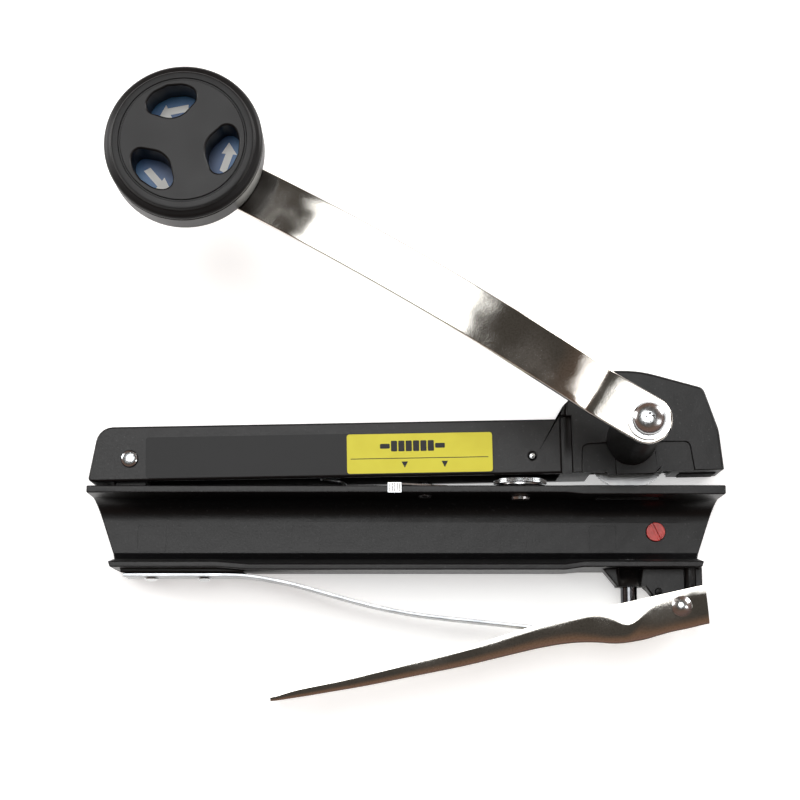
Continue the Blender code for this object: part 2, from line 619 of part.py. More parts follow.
# Cover seat, round the chamber at the back, and its screw holes
cover_radius = chamber_radius + 6.0
cover_low = ARM_BOTTOM + BACK_STEP[1] + 0.6
cover_outline = [(SHAFT[0] - cover_radius, cover_low), (SHAFT[0] + cover_radius, cover_low)]
cover_outline += arc(SHAFT, cover_radius, 0, 180, 20)
seat = inset(cover_outline, -GAP)
combine(casting, prism(seat, -CUT, COVER_THICKNESS + COVER_RECESS + GAP), "DIFFERENCE", arm_frame)
screw_circle = chamber_radius + 2.7
cover_screws = []
for angle in COVER_SCREW_ANGLES:
    turn = math.radians(angle)
    cover_screws.append((SHAFT[0] + screw_circle * math.cos(turn), SHAFT[1] + screw_circle * math.sin(turn)))
for place in cover_screws:
    pilot = cylinder(place, SCREW_RADIUS + GAP, 0.5, 11.0, sides=16)
    combine(casting, pilot, "DIFFERENCE", arm_frame)

bushing_radius = SHAFT_RADIUS + GAP + BUSHING_WALL
shaft_bore = cylinder(SHAFT, bushing_radius + GAP, HEAD_FRONT - ARM_WALL - CUT, BOSS_TOP + CUT)
combine(casting, shaft_bore, "DIFFERENCE", arm_frame)
for low, high in ((-CUT, ARM_WALL + CUT), (ARM_FRONT - ARM_WALL - CUT, ARM_FRONT + CUT)):
    combine(casting, cylinder(ARM_HINGE, HINGE_PIN_RADIUS + GAP, low, high), "DIFFERENCE", arm_frame)

# Groove between beam and head, and the shallow panel round the boss
groove = box(GROOVE, (ARM_BOTTOM - CUT, ARM_TOP + CUT), (ARM_FRONT - GROOVE_DEPTH, HEAD_FRONT + CUT))
combine(casting, groove, "DIFFERENCE", arm_frame)
panel = rounded(
    [
        (SHAFT[0] - 20.4, ARM_BOTTOM - 3, 0),
        (SHAFT[0] - 6.4, ARM_BOTTOM - 3, 0),
        (SHAFT[0] - 7.2, SHAFT[1] - 0.8, 0),
        (SHAFT[0] - 19.8, SHAFT[1] - 1.3, 2.5),
    ]
)
combine(casting, prism(panel, HEAD_FRONT - 1.0, HEAD_FRONT + CUT), "DIFFERENCE", arm_frame)
panel = rounded(
    [
        (SHAFT[0] + 10.6, ARM_BOTTOM - 3, 0),
        (SHAFT[0] + 25.8, ARM_BOTTOM - 3, 0),
        (SHAFT[0] + 23.8, SHAFT[1] - 0.8, 2.5),
        (SHAFT[0] + 9.6, SHAFT[1] - 0.6, 0),
    ]
)
combine(casting, prism(panel, HEAD_FRONT - 1.0, HEAD_FRONT + CUT), "DIFFERENCE", arm_frame)

# Pocket under the head for the rest pad
pocket = box(
    (PAD[0] - GAP, PAD[1] + GAP), (ARM_BOTTOM - CUT, PAD_TOP + GAP), (PAD_DEPTH[0] - GAP, PAD_DEPTH[1] + GAP)
)
combine(casting, pocket, "DIFFERENCE", arm_frame)
step_depth, step_height = BACK_STEP
back_step = box((SHAFT[0], HEAD_RIGHT + CUT), (ARM_BOTTOM - 3, ARM_BOTTOM + step_height), (-CUT, step_depth))
combine(casting, back_step, "DIFFERENCE", arm_frame)

# Stop post over the depth wheel, with its roll pin
post_depth = (10.0, ARM_FRONT - ARM_WALL + CUT)
post = box(POST, (wheel_high + 0.6, ARM_TOP - ARM_WALL + CUT), post_depth)
combine(casting, post, "UNION", arm_frame)
pin_hole = cylinder(ROLL_PIN, ROLL_PIN_RADIUS + GAP, post_depth[0] + 3, ARM_FRONT + CUT, sides=16)
combine(casting, pin_hole, "DIFFERENCE", arm_frame)

pad_box = box(PAD, (PAD_BOTTOM, PAD_TOP), PAD_DEPTH)
add_part("head_rest_pad", pad_box, rubber, arm_frame)
profile = [(0, post_depth[0] + 3 + GAP), (ROLL_PIN_RADIUS, post_depth[0] + 3 + GAP)]
profile += [(ROLL_PIN_RADIUS, ARM_FRONT + 0.2), (0, ARM_FRONT + 0.4)]
add_part("stop_roll_pin", turned(profile, ROLL_PIN, sides=16), steel, arm_frame)

label_outline = rounded(
    [
        (LABEL[0], LABEL_BOTTOM, 0.5),
        (LABEL[1], LABEL_BOTTOM, 2.0),
        (LABEL[1], LABEL_TOP, 2.0),
        (LABEL[0], LABEL_TOP, 0.5),
    ]
)
label = prism(label_outline, ARM_FRONT + GAP, ARM_FRONT + GAP + LABEL_THICKNESS)
add_part("instruction_label", label, yellow_label, arm_frame)

# Blade cover, its screws and the shaft's rear bushing
cover = add_part(
    "blade_cover", prism(cover_outline, COVER_RECESS, COVER_RECESS + COVER_THICKNESS), black_cast, arm_frame
)
combine(cover, cylinder(SHAFT, bushing_radius + GAP, -CUT, COVER_THICKNESS + 2), "DIFFERENCE", arm_frame)
cover_top = COVER_RECESS + COVER_THICKNESS
for number, place in enumerate(cover_screws, 1):
    sink = SCREW_HEAD_RADIUS + GAP
    cone = [(0, -CUT), (sink, -CUT), (sink, 0.7), (SCREW_RADIUS + GAP, 2.2)]
    cone += [(SCREW_RADIUS + GAP, cover_top + CUT), (0, cover_top + CUT)]
    combine(cover, turned(cone, place, sides=20), "DIFFERENCE", arm_frame)
    shape = [(0, 0.35), (SCREW_HEAD_RADIUS, 0.35), (SCREW_HEAD_RADIUS, 0.7), (SCREW_RADIUS, 2.2)]
    shape += [(SCREW_RADIUS, 10.5), (0, 10.5)]
    screw = add_part(f"cover_screw_{number}", turned(shape, place, sides=20), steel, arm_frame)
    driver_slot = box((place[0] - 3, place[0] + 3), (place[1] - 0.4, place[1] + 0.4), (-CUT, 1.2))
    combine(screw, driver_slot, "DIFFERENCE", arm_frame)
shaft_clear = SHAFT_RADIUS + GAP
rear = [(shaft_clear, 0.4), (bushing_radius, 0.4), (bushing_radius, cover_top + GAP)]
rear += [(bushing_radius + 1.6, cover_top + GAP), (bushing_radius + 1.6, cover_top + 1.8), (shaft_clear, cover_top + 1.8)]
add_part("rear_bushing", turned(rear, SHAFT, ring=True), bronze, arm_frame)
inner_face = HEAD_FRONT - ARM_WALL
front = [(shaft_clear, inner_face - 1.5), (bushing_radius + 1.6, inner_face - 1.5)]
front += [(bushing_radius + 1.6, inner_face - GAP), (bushing_radius, inner_face - GAP)]
front += [(bushing_radius, BOSS_TOP), (shaft_clear, BOSS_TOP)]
add_part("shaft_bushing", turned(front, SHAFT, ring=True), bronze, arm_frame)


# Crank -----------------------------------------------------------------------------------------------

arm_under = CRANK_TOP - CRANK_THICKNESS
blade_low = WORK_PLANE - BLADE_THICKNESS / 2
blade_high = WORK_PLANE + BLADE_THICKNESS / 2
centre = (0, 0)
profile = [(0, 0.6), (SHAFT_RADIUS, 0.6), (SHAFT_RADIUS, blade_high + GAP), (COLLAR_RADIUS, blade_high + GAP)]
profile += [(COLLAR_RADIUS, blade_high + 3.0), (SHAFT_RADIUS, blade_high + 3.0)]
profile += [(SHAFT_RADIUS, arm_under - GAP)]
profile += [(CRANK_SCREW_RADIUS + GAP, arm_under - GAP), (CRANK_SCREW_RADIUS + GAP, arm_under - TAP_DEPTH)]
profile += [(0, arm_under - TAP_DEPTH)]
add_part("crank_shaft", turned(profile, centre), steel, crank_frame)

teeth = []
for index in range(BLADE_TEETH * 2):
    turn = math.radians(180 * index / BLADE_TEETH)
    reach = BLADE_RADIUS - (TOOTH_DEPTH if index % 2 else 0)
    teeth.append((reach * math.cos(turn), reach * math.sin(turn)))
wheel_blade = add_part("cutting_wheel", prism(teeth, blade_low, blade_high), steel, crank_frame)
combine(wheel_blade, cylinder(centre, shaft_clear, 0, 30), "DIFFERENCE", crank_frame)
washer_high = blade_low - GAP
ring = [(shaft_clear, washer_high - 1.2), (7.0, washer_high - 1.2), (7.0, washer_high), (shaft_clear, washer_high)]
add_part("blade_washer", turned(ring, centre, ring=True), steel, crank_frame)
nut_high = blade_low - 2 * GAP - 1.2
nut = cylinder(centre, 7.2, nut_high - NUT_HEIGHT, nut_high, sides=6)
nut = add_part("blade_nut", nut, steel, crank_frame)
combine(nut, cylinder(centre, shaft_clear, 0, 30), "DIFFERENCE", crank_frame)
gap_ring = [(shaft_clear, BOSS_TOP + GAP), (8.0, BOSS_TOP + GAP)]
gap_ring += [(8.0, arm_under - GAP), (shaft_clear, arm_under - GAP)]
add_part("crank_spacer", turned(gap_ring, centre, ring=True), steel, crank_frame)


def crank_path():
    """The arm's top side, from the screw end to the knob: flat, bowed outwards in an arc, and flat again."""
    start, end = CRANK_FLAT, CRANK_LENGTH - CRANK_KNOB_FLAT
    chord = end - start
    radius = (chord**2 / 4 + CRANK_BOW**2) / (2 * CRANK_BOW)
    half = CRANK_WIDTH / 2
    points = [(-half * math.cos(math.radians(angle)), CRANK_TOP) for angle in (0, 18, 36, 54, 72)]
    points += [(0, CRANK_TOP), (start, CRANK_TOP)]
    steps = 16
    for step in range(1, steps):
        along = chord * step / steps
        rise = math.sqrt(radius**2 - (along - chord / 2) ** 2) - (radius - CRANK_BOW)
        points.append((start + along, CRANK_TOP + rise + CRANK_KNOB_RISE * step / steps))
    points += [(end, CRANK_TOP + CRANK_KNOB_RISE), (CRANK_LENGTH, CRANK_TOP + CRANK_KNOB_RISE)]
    points += [
        (CRANK_LENGTH + half * math.cos(math.radians(angle)), CRANK_TOP + CRANK_KNOB_RISE)
        for angle in (72, 54, 36, 18, 0)
    ]
    return points


def crank_half_width(along):
    half = CRANK_WIDTH / 2
    past = max(-along, along - CRANK_LENGTH, 0)
    return math.sqrt(max(half**2 - past**2, 0.2))


crank_arm = add_part(
    "crank_arm", strip(crank_path(), crank_half_width, CRANK_THICKNESS), nickel, crank_frame
)
hole = cylinder(centre, CRANK_SCREW_RADIUS + GAP, arm_under - CUT, CRANK_TOP + CUT)
combine(crank_arm, hole, "DIFFERENCE", crank_frame)
knob_seat = CRANK_TOP + CRANK_KNOB_RISE
hole = cylinder(
    (CRANK_LENGTH, 0), KNOB_AXLE_RADIUS + GAP, knob_seat - CRANK_THICKNESS - CUT, knob_seat + CUT
)
combine(crank_arm, hole, "DIFFERENCE", crank_frame)

washer_low = CRANK_TOP + GAP
washer_high = washer_low + 1.2
ring = [(CRANK_SCREW_RADIUS + GAP, washer_low), (CRANK_WASHER_RADIUS, washer_low)]
ring += [(CRANK_WASHER_RADIUS, washer_high), (CRANK_SCREW_RADIUS + GAP, washer_high)]
add_part("crank_washer", turned(ring, centre, ring=True), steel, crank_frame)
head_low = washer_high + GAP
reach = CRANK_SCREW_HEAD_RADIUS
profile = [(0, arm_under - TAP_DEPTH + 2), (CRANK_SCREW_RADIUS, arm_under - TAP_DEPTH + 2)]
profile += [(CRANK_SCREW_RADIUS, head_low), (reach, head_low), (reach, head_low + 1.2)]
profile += [(reach - 0.7, head_low + 2.4), (reach - 2.4, head_low + 3.3), (0, head_low + 3.8)]
screw = add_part("crank_screw", turned(profile, centre), steel, crank_frame)
for angle in (0, 90):
    arm_of_cross = box((-2.9, 2.9), (-0.7, 0.7), (head_low + 1.4, head_low + 6))
    arm_of_cross.transform(Matrix.Rotation(math.radians(angle - CRANK_ANGLE), 4, "Z"))
    combine(screw, arm_of_cross, "DIFFERENCE", crank_frame)

# Knob axle: a headed stud through the arm's end, with a retaining ring inside the knob
axle_top = knob_seat + KNOB_HEIGHT - 4.0
profile = [(0, knob_seat - CRANK_THICKNESS - GAP - 2.0), (6.0, knob_seat - CRANK_THICKNESS - GAP - 1.6)]
profile += [(6.6, knob_seat - CRANK_THICKNESS - GAP), (KNOB_AXLE_RADIUS, knob_seat - CRANK_THICKNESS - GAP)]
profile += [(KNOB_AXLE_RADIUS, axle_top), (0, axle_top)]
add_part("knob_axle", turned(profile, (CRANK_LENGTH, 0)), steel, crank_frame)
hub_top = axle_top - 2.6
ring = [(KNOB_AXLE_RADIUS + GAP, hub_top + GAP), (6.6, hub_top + GAP)]
ring += [(6.6, hub_top + 1.3), (KNOB_AXLE_RADIUS + GAP, hub_top + 1.3)]
add_part("knob_retaining_ring", turned(ring, (CRANK_LENGTH, 0), ring=True, sides=24), steel, crank_frame)


# Knob ------------------------------------------------------------------------------------------------

knob_back = knob_seat + 1.0
knob_front = knob_back + KNOB_HEIGHT
outer, wall = KNOB_RADIUS, KNOB_WALL
profile = [(outer - wall - 0.6, knob_back), (outer - 0.1, knob_back), (outer - 0.1, knob_front - 6.4)]
profile += [(outer, knob_front - 5.2), (outer - 0.1, knob_front - 3.6), (outer - 1.0, knob_front - 2.0)]
profile += [(outer - 2.9, knob_front - 0.8), (KNOB_FACE_RADIUS, knob_front - 0.5)]
profile += [(KNOB_FACE_RADIUS, knob_front)]
profile += [(0, knob_front), (0, knob_front - wall), (outer - wall - 1.4, knob_front - wall - 1.0)]
cap = turned(profile + [profile[0]], centre, sides=56)
knob_cap = add_part("knob_cap", cap, black_plastic, knob_frame)
for index in range(KNOB_HOLES):
    finger_hole = prism(rounded(KNOB_HOLE, steps=5), knob_front - wall - 3, knob_front + CUT)
    finger_hole.transform(Matrix.Rotation(math.radians(KNOB_HOLE_ANGLE + 360 * index / KNOB_HOLES), 4, "Z"))
    combine(knob_cap, finger_hole, "DIFFERENCE", knob_frame)

base_radius = outer - wall - 0.6 - GAP
bore_radius = KNOB_AXLE_RADIUS + GAP
profile = [(bore_radius, knob_back), (base_radius, knob_back), (base_radius, knob_back + KNOB_FLOOR)]
profile += [(KNOB_HUB_RADIUS, knob_back + KNOB_FLOOR), (KNOB_HUB_RADIUS, hub_top), (bore_radius, hub_top)]
add_part("knob_base", turned(profile, centre, ring=True, sides=48), black_plastic, knob_frame)
disc_low = knob_back + KNOB_FLOOR + GAP
disc_inner, disc_outer = KNOB_HUB_RADIUS + GAP, base_radius - 0.8
ring = [(disc_inner, disc_low), (disc_outer, disc_low)]
ring += [(disc_outer, disc_low + 0.8), (disc_inner, disc_low + 0.8)]
add_part("knob_blue_disc", turned(ring, centre, ring=True, sides=48), blue_print, knob_frame)


# Squeeze lever and plunger ---------------------------------------------------------------------------

lever_depth = (WORK_PLANE - LEVER_WIDTH / 2, WORK_PLANE + LEVER_WIDTH / 2)
lever = add_part("clamp_lever", prism(LEVER_TOP_EDGE + LEVER_WEB, *lever_depth), nickel, lever_frame)
web_inside = [(x, y + LEVER_SHEET) for x, y in LEVER_WEB if x > HOLLOW_END - 1]
past_end = web_inside[-1][0] + 5
hollow = web_inside + [(past_end, web_inside[-1][1]), (past_end, 15), (HOLLOW_END, 15)]
inside = prism(hollow, lever_depth[0] + LEVER_SHEET, lever_depth[1] - LEVER_SHEET)
combine(lever, inside, "DIFFERENCE", lever_frame)
pin_bore = cylinder(centre, LEVER_PIN_RADIUS + GAP, lever_depth[0] - CUT, lever_depth[1] + CUT)
combine(lever, pin_bore, "DIFFERENCE", lever_frame)

plunger_low = LEVER_PIVOT[1] - 14.4 + LEVER_SHEET + 0.6
profile = [(0, plunger_low), (2.2, plunger_low + 0.2), (PLUNGER_RADIUS, plunger_low + 1.4)]
profile += [(PLUNGER_RADIUS, PLUNGER_TOP - 1.0), (PLUNGER_RADIUS - 1.0, PLUNGER_TOP), (0, PLUNGER_TOP)]
add_part("clamp_plunger", turned(profile, (PLUNGER_X, WORK_PLANE), "Y"), steel, plunger_frame)


# Selector and depth wheel ----------------------------------------------------------------------------

tab_inner = CHANNEL_FRONT + 0.5
tab_outer = tab_inner + SELECTOR_SHEET
tab_left = SELECTOR_TAB_CENTRE - SELECTOR_TAB_WIDTH / 2
tab_right = SELECTOR_TAB_CENTRE + SELECTOR_TAB_WIDTH / 2
plate_outline = [(tab_left, tab_outer), (tab_left, CHANNEL_FRONT - 3)]
plate_outline += arc(SELECTOR, 4.4, 200, 300, 5)
plate_outline += [(SELECTOR[0] + 8.5, SELECTOR[1] - 1.4), (SELECTOR[0] + 9.3, SELECTOR[1] + 0.6)]
plate_outline += arc(SELECTOR, 4.4, 30, 90, 4)
plate_outline += [(tab_right, CHANNEL_FRONT - 0.4), (tab_right, tab_outer)]
plate = add_part(
    "size_selector", prism(plate_outline, plate_low, plate_high, "XZ"), spring_steel, selector_frame
)
tab = box((tab_left, tab_right), (plate_high - SELECTOR_TAB_LENGTH, plate_high), (tab_inner, tab_outer))
combine(plate, tab, "UNION", selector_frame)
hole = cylinder(SELECTOR, SELECTOR_RIVET_RADIUS + GAP, plate_low - CUT, plate_high + CUT, "Y", sides=24)
combine(plate, hole, "DIFFERENCE", selector_frame)

bore_radius = WHEEL_STUD_RADIUS + GAP
ring = [(bore_radius, wheel_low), (WHEEL_RADIUS - 0.4, wheel_low), (WHEEL_RADIUS, wheel_low + 0.4)]
ring += [(WHEEL_RADIUS, wheel_high - 0.4), (WHEEL_RADIUS - 0.4, wheel_high), (bore_radius, wheel_high)]
add_part("depth_wheel", turned(ring, WHEEL, "Y", ring=True, sides=48), steel, wheel_frame)
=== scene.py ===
import math

import bmesh
import bpy
from mathutils import Matrix, Vector


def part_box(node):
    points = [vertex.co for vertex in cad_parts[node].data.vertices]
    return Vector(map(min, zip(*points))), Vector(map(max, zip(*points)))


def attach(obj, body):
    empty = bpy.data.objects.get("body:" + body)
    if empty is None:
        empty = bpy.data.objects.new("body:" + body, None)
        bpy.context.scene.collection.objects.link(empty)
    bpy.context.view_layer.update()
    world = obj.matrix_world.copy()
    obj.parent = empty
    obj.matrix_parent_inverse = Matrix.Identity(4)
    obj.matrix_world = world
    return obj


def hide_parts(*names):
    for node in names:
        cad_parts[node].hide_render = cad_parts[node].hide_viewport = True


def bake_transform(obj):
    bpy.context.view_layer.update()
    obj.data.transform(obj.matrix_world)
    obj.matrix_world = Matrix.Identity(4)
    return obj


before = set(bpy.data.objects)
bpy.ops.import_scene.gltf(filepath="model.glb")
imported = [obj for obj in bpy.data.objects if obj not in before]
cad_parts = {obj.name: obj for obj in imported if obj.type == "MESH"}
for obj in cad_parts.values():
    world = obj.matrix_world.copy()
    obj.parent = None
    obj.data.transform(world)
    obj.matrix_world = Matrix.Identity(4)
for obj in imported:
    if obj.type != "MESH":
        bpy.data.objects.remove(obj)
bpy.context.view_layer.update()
MM = 0.001

# Table, camera and light -----------------------------------------------------------------------------
# The tool lies on its back on a white laminate table. A round diffuser hangs over it, a little to the left,
# in a room that is dim towards the horizon. The camera looks almost straight down.

scene = bpy.context.scene
scene.view_settings.view_transform = "Standard"


def srgb(code):
    """The linear colour of an sRGB hex code such as #ffffff."""
    shares = [int(code[i : i + 2], 16) / 255 for i in (1, 3, 5)]
    return (*[s / 12.92 if s <= 0.04045 else ((s + 0.055) / 1.055) ** 2.4 for s in shares], 1.0)


def add_node(tree, kind, inputs=None, **settings):
    """Adds a node. An input takes a value, or an output socket to link."""
    node = tree.nodes.new(kind)
    for name, value in settings.items():
        setattr(node, name, value)
    for socket, value in (inputs or {}).items():
        if isinstance(value, bpy.types.NodeSocket):
            tree.links.new(value, node.inputs[socket])
        else:
            node.inputs[socket].default_value = value
    return node


def new_material(name, **sockets):
    """A Principled material with these constants on its shader, and its tree and shader."""
    made = bpy.data.materials.new(name)
    made.use_nodes = True
    shader = made.node_tree.nodes["Principled BSDF"]
    for socket, value in sockets.items():
        shader.inputs[socket.replace("_", " ")].default_value = value
    return made, made.node_tree, shader


def set_ramp(node, stops):
    """Sets a colour ramp's (position, colour) stops."""
    ramp = node.color_ramp
    while len(ramp.elements) < len(stops):
        ramp.elements.new(1.0)
    for element, (position, colour) in zip(ramp.elements, stops):
        element.position = position
        element.color = colour


camera_data = bpy.data.cameras.new("overhead_camera")
camera_data.lens = 81.0
camera_data.sensor_width = 36.0
camera = bpy.data.objects.new("overhead_camera", camera_data)
scene.collection.objects.link(camera)
camera.location = (-0.0024, -0.0770, 0.7553)
camera.rotation_euler = Vector((0, 0.17502, -0.98456)).to_track_quat("-Z", "Y").to_euler()
scene.camera = camera

world = bpy.data.worlds.new("light_tent")
world.use_nodes = True
scene.world = world
tent = world.node_tree
direction = add_node(tent, "ShaderNodeTexCoord").outputs["Generated"]
DIFFUSER = Vector((-0.08, 0.20, 0.976)).normalized()
toward = add_node(tent, "ShaderNodeVectorMath", {0: direction, 1: DIFFUSER}, operation="DOT_PRODUCT")
glow = add_node(tent, "ShaderNodeValToRGB", {"Fac": toward.outputs["Value"]})
set_ramp(
    glow,
    [
        (0.0, srgb("#1d1b1a")),
        (0.40, srgb("#3a2c27")),
        (0.70, srgb("#33271f")),
        (0.82, srgb("#1d1b19")),
        (0.948, srgb("#1d1b19")),
        (0.966, srgb("#ffffff")),
    ],
)
background = tent.nodes["Background"]
tent.links.new(glow.outputs["Color"], background.inputs["Color"])
background.inputs["Strength"].default_value = 5.2


def add_softbox(name, location, target, size, energy):
    data = bpy.data.lights.new(name, "AREA")
    data.shape = "RECTANGLE"
    data.size, data.size_y = size
    data.energy = energy
    light = bpy.data.objects.new(name, data)
    scene.collection.objects.link(light)
    light.location = location
    light.rotation_euler = (Vector(target) - Vector(location)).to_track_quat("-Z", "Y").to_euler()


add_softbox("softbox_left", (-1.1, 0.5, 0.55), (0, 0.03, 0), (0.5, 0.5), 7.0)
add_softbox("softbox_right", (0.95, -0.15, 1.05), (0, 0.03, 0), (0.28, 0.40), 1.6)
add_softbox("softbox_far_right", (1.0, 0.75, 0.5), (0, 0.03, 0), (0.5, 0.4), 7.0)

laminate, tree, shader = new_material(
    "white_laminate", Roughness=0.45, Emission_Color=(1, 1, 1, 1), Emission_Strength=0.48
)
# Laminate: white, satin and lit a little from below, so that shadows on it stay pale.
coords = add_node(tree, "ShaderNodeTexCoord").outputs["Object"]
cloud = add_node(tree, "ShaderNodeTexNoise", {"Vector": coords, "Scale": 4.0, "Detail": 2.0})
tone = add_node(tree, "ShaderNodeValToRGB", {"Fac": cloud.outputs["Fac"]})
set_ramp(tone, [(0.3, srgb("#f4f5f4")), (0.7, srgb("#f8f8f7"))])
tree.links.new(tone.outputs["Color"], shader.inputs["Base Color"])
bm = bmesh.new()
bmesh.ops.create_grid(bm, x_segments=1, y_segments=1, size=6.0, matrix=Matrix.Translation((0, 0, -0.0002)))
table_mesh = bpy.data.meshes.new("table_top")
bm.to_mesh(table_mesh)
bm.free()
table = bpy.data.objects.new("table_top", table_mesh)
scene.collection.objects.link(table)
table_mesh.materials.append(laminate)

# Channel ---------------------------------------------------------------------------------------------
# One long trough, die-cast and coated in satin black enamel. The mould leaves soft edges, a faint grain
# and shallow ejector pads in its floor. Lugs for the hinge, the lever and the leaf spring are cast on.

black_enamel, tree, shader = new_material("black_enamel_on_die_casting", IOR=1.5, Specular_IOR_Level=0.35)
# Enamel over a casting: deep black with a satin sheen. The grain under it, 0.7 mm across, is a little
# coarser than the real one so that it shows, and a slow 9 mm waviness breaks up the long reflections.
coords = add_node(tree, "ShaderNodeTexCoord").outputs["Object"]
grain = add_node(tree, "ShaderNodeTexNoise", {"Vector": coords, "Scale": 1 / 0.0007, "Detail": 3.0})
waves = add_node(tree, "ShaderNodeTexNoise", {"Vector": coords, "Scale": 1 / 0.009, "Detail": 1.0})
dust = add_node(tree, "ShaderNodeTexNoise", {"Vector": coords, "Scale": 1 / 0.0011, "Detail": 2.0})
specks = add_node(tree, "ShaderNodeValToRGB", {"Fac": dust.outputs["Fac"]})
set_ramp(specks, [(0.0, srgb("#0a0a0b")), (0.66, srgb("#0e0e0f")), (0.74, srgb("#2a2a2b"))])
tree.links.new(specks.outputs["Color"], shader.inputs["Base Color"])
sheen = add_node(tree, "ShaderNodeMapRange", {"Value": grain.outputs["Fac"], "To Min": 0.30, "To Max": 0.50})
tree.links.new(sheen.outputs["Result"], shader.inputs["Roughness"])
bump = add_node(
    tree, "ShaderNodeBump", {"Height": waves.outputs["Fac"], "Strength": 0.15, "Distance": 0.0012}
)
bump = add_node(
    tree,
    "ShaderNodeBump",
    {"Height": grain.outputs["Fac"], "Strength": 0.35, "Distance": 0.00012, "Normal": bump.outputs["Normal"]},
)
tree.links.new(bump.outputs["Normal"], shader.inputs["Normal"])


def copy_of(node):
    """A merged copy of a CAD node's mesh, with its flat faces whole again."""
    bm = bmesh.new()
    bm.from_mesh(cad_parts[node].data)
    bmesh.ops.remove_doubles(bm, verts=bm.verts, dist=1e-6)
    bmesh.ops.dissolve_limit(bm, angle_limit=math.radians(1.5), verts=bm.verts, edges=bm.edges)
    return bm


def round_edges(bm, radius, wanted=None, sharper=25, segments=2):
    """Rounds the edges that turn more sharply than the angle and that wanted(edge) accepts."""
    edges = [edge for edge in bm.edges if len(edge.link_faces) == 2 and edge.calc_length() > 0.0001]
    edges = [edge for edge in edges if edge.calc_face_angle() > math.radians(sharper)]
    edges = [edge for edge in edges if wanted is None or wanted(edge)]
    bmesh.ops.bevel(
        bm,
        geom=edges,
        offset=radius,
        affect="EDGES",
        segments=segments,
        profile=0.5,
        material=-1,
        clamp_overlap=False,
    )


def finish_piece(name, bm, finish, body, nodes=(), smooth_below=35):
    """Makes the piece from its mesh, gives it its material, and hangs it on its body."""
    mesh = bpy.data.meshes.new(name)
    bm.to_mesh(mesh)
    bm.free()
    mesh.materials.append(finish)
    mesh.shade_smooth()
    mesh.set_sharp_from_angle(angle=math.radians(smooth_below))
    piece = bpy.data.objects.new(name, mesh)
    scene.collection.objects.link(piece)
    # Large flat faces keep an even sheen beside their rounded edges.
    even = piece.modifiers.new("even_sheen", "WEIGHTED_NORMAL")
    even.keep_sharp = True
    if body:
        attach(piece, body)
    if nodes:
        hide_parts(*nodes)
    return piece


def middle(edge):
    return (edge.verts[0].co + edge.verts[1].co) / 2


def long_run(edge):
    """Edges of the trough itself: they run along X, or cross it at its ends."""
    return edge.calc_length() > 0.004 or abs(middle(edge).x) > 0.118


bm = copy_of("channel_body")
round_edges(bm, 0.0005, long_run)
finish_piece("cast_channel", bm, black_enamel, "channel_frame", ["channel_body"])


def raise_wall(bm, width, height):
    """Leaves a closed wall along a flat outline, inside it, or outside it where the width is negative."""
    ring = bmesh.ops.inset_region(
        bm, faces=bm.faces[:], thickness=width, use_boundary=True, use_even_offset=True
    )["faces"]
    bmesh.ops.delete(bm, geom=[face for face in bm.faces if face not in ring], context="FACES_ONLY")
    grown = bmesh.ops.extrude_face_region(bm, geom=ring)["geom"]
    tops = [item for item in grown if isinstance(item, bmesh.types.BMVert)]
    bmesh.ops.translate(bm, vec=(0, 0, height), verts=tops)
    bmesh.ops.recalc_face_normals(bm, faces=bm.faces)


# Ejector pads: shallow raised outlines left in the channel's floor by the mould
floor_level = 0.0035
PAD_PLACES = ((-0.1066, 0.0125), (-0.0422, 0.0125), (0.0452, 0.0117), (0.0826, 0.0117))
for number, (x, width) in enumerate(PAD_PLACES, 1):
    bm = bmesh.new()
    bmesh.ops.create_grid(bm, x_segments=1, y_segments=1, size=0.5)
    bmesh.ops.scale(bm, vec=(width, 0.0115, 1), verts=bm.verts)
    bmesh.ops.bevel(
        bm, geom=bm.verts[:], offset=0.0012, affect="VERTICES", segments=4, profile=0.5, material=-1
    )
    raise_wall(bm, 0.0006, 0.00035)
    bmesh.ops.translate(bm, vec=(x, -0.0021, floor_level - 0.0001), verts=bm.verts)
    finish_piece(f"ejector_pad_{number}", bm, black_enamel, "channel_frame")

# Arm casting -----------------------------------------------------------------------------------------
# The swinging arm is a hollow die casting in the same black enamel, open underneath. Its head carries the
# cutting wheel, and a tapered boss stands on the head round the crank's shaft.


def head_front_edge(edge):
    return 0.0299 < middle(edge).z < 0.0301


def on_head_rim(edge):
    """The outer edge of the head's front face, above and right of its panels."""
    place = middle(edge)
    return place.y > 0.047 or place.x > 0.1235 and place.y > 0.0235


bm = copy_of("saw_arm_casting")
round_edges(bm, 0.0009, lambda edge: 0.0284 < middle(edge).z < 0.0286, segments=3)
round_edges(bm, 0.0004, lambda edge: head_front_edge(edge) and not on_head_rim(edge), sharper=60)
round_edges(bm, 0.0013, lambda edge: head_front_edge(edge) and on_head_rim(edge), sharper=60, segments=3)
finish_piece("cast_arm", bm, black_enamel, "saw_arm", ["saw_arm_casting"])

bm = copy_of("blade_cover")
round_edges(bm, 0.0002, lambda edge: edge.calc_length() > 0.002)
finish_piece("rear_cover", bm, black_enamel, "saw_arm", ["blade_cover"])

# Label -----------------------------------------------------------------------------------------------
# A glossy film sticker on the arm's front: black, with a yellow panel at its right end that carries the
# two marks for the size selector. Its lettering is left off, and a plain pictogram stands there instead.

hinge_low, hinge_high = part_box("arm_hinge_pin")
hinge = (hinge_low + hinge_high) / 2
hinge.z = 0
ARM_OPEN_ANGLE = 1.05
swing = Matrix.Rotation(math.radians(ARM_OPEN_ANGLE), 4, "Z")
ARM_REST = Matrix.Translation(hinge) @ swing @ Matrix.Translation(-hinge)


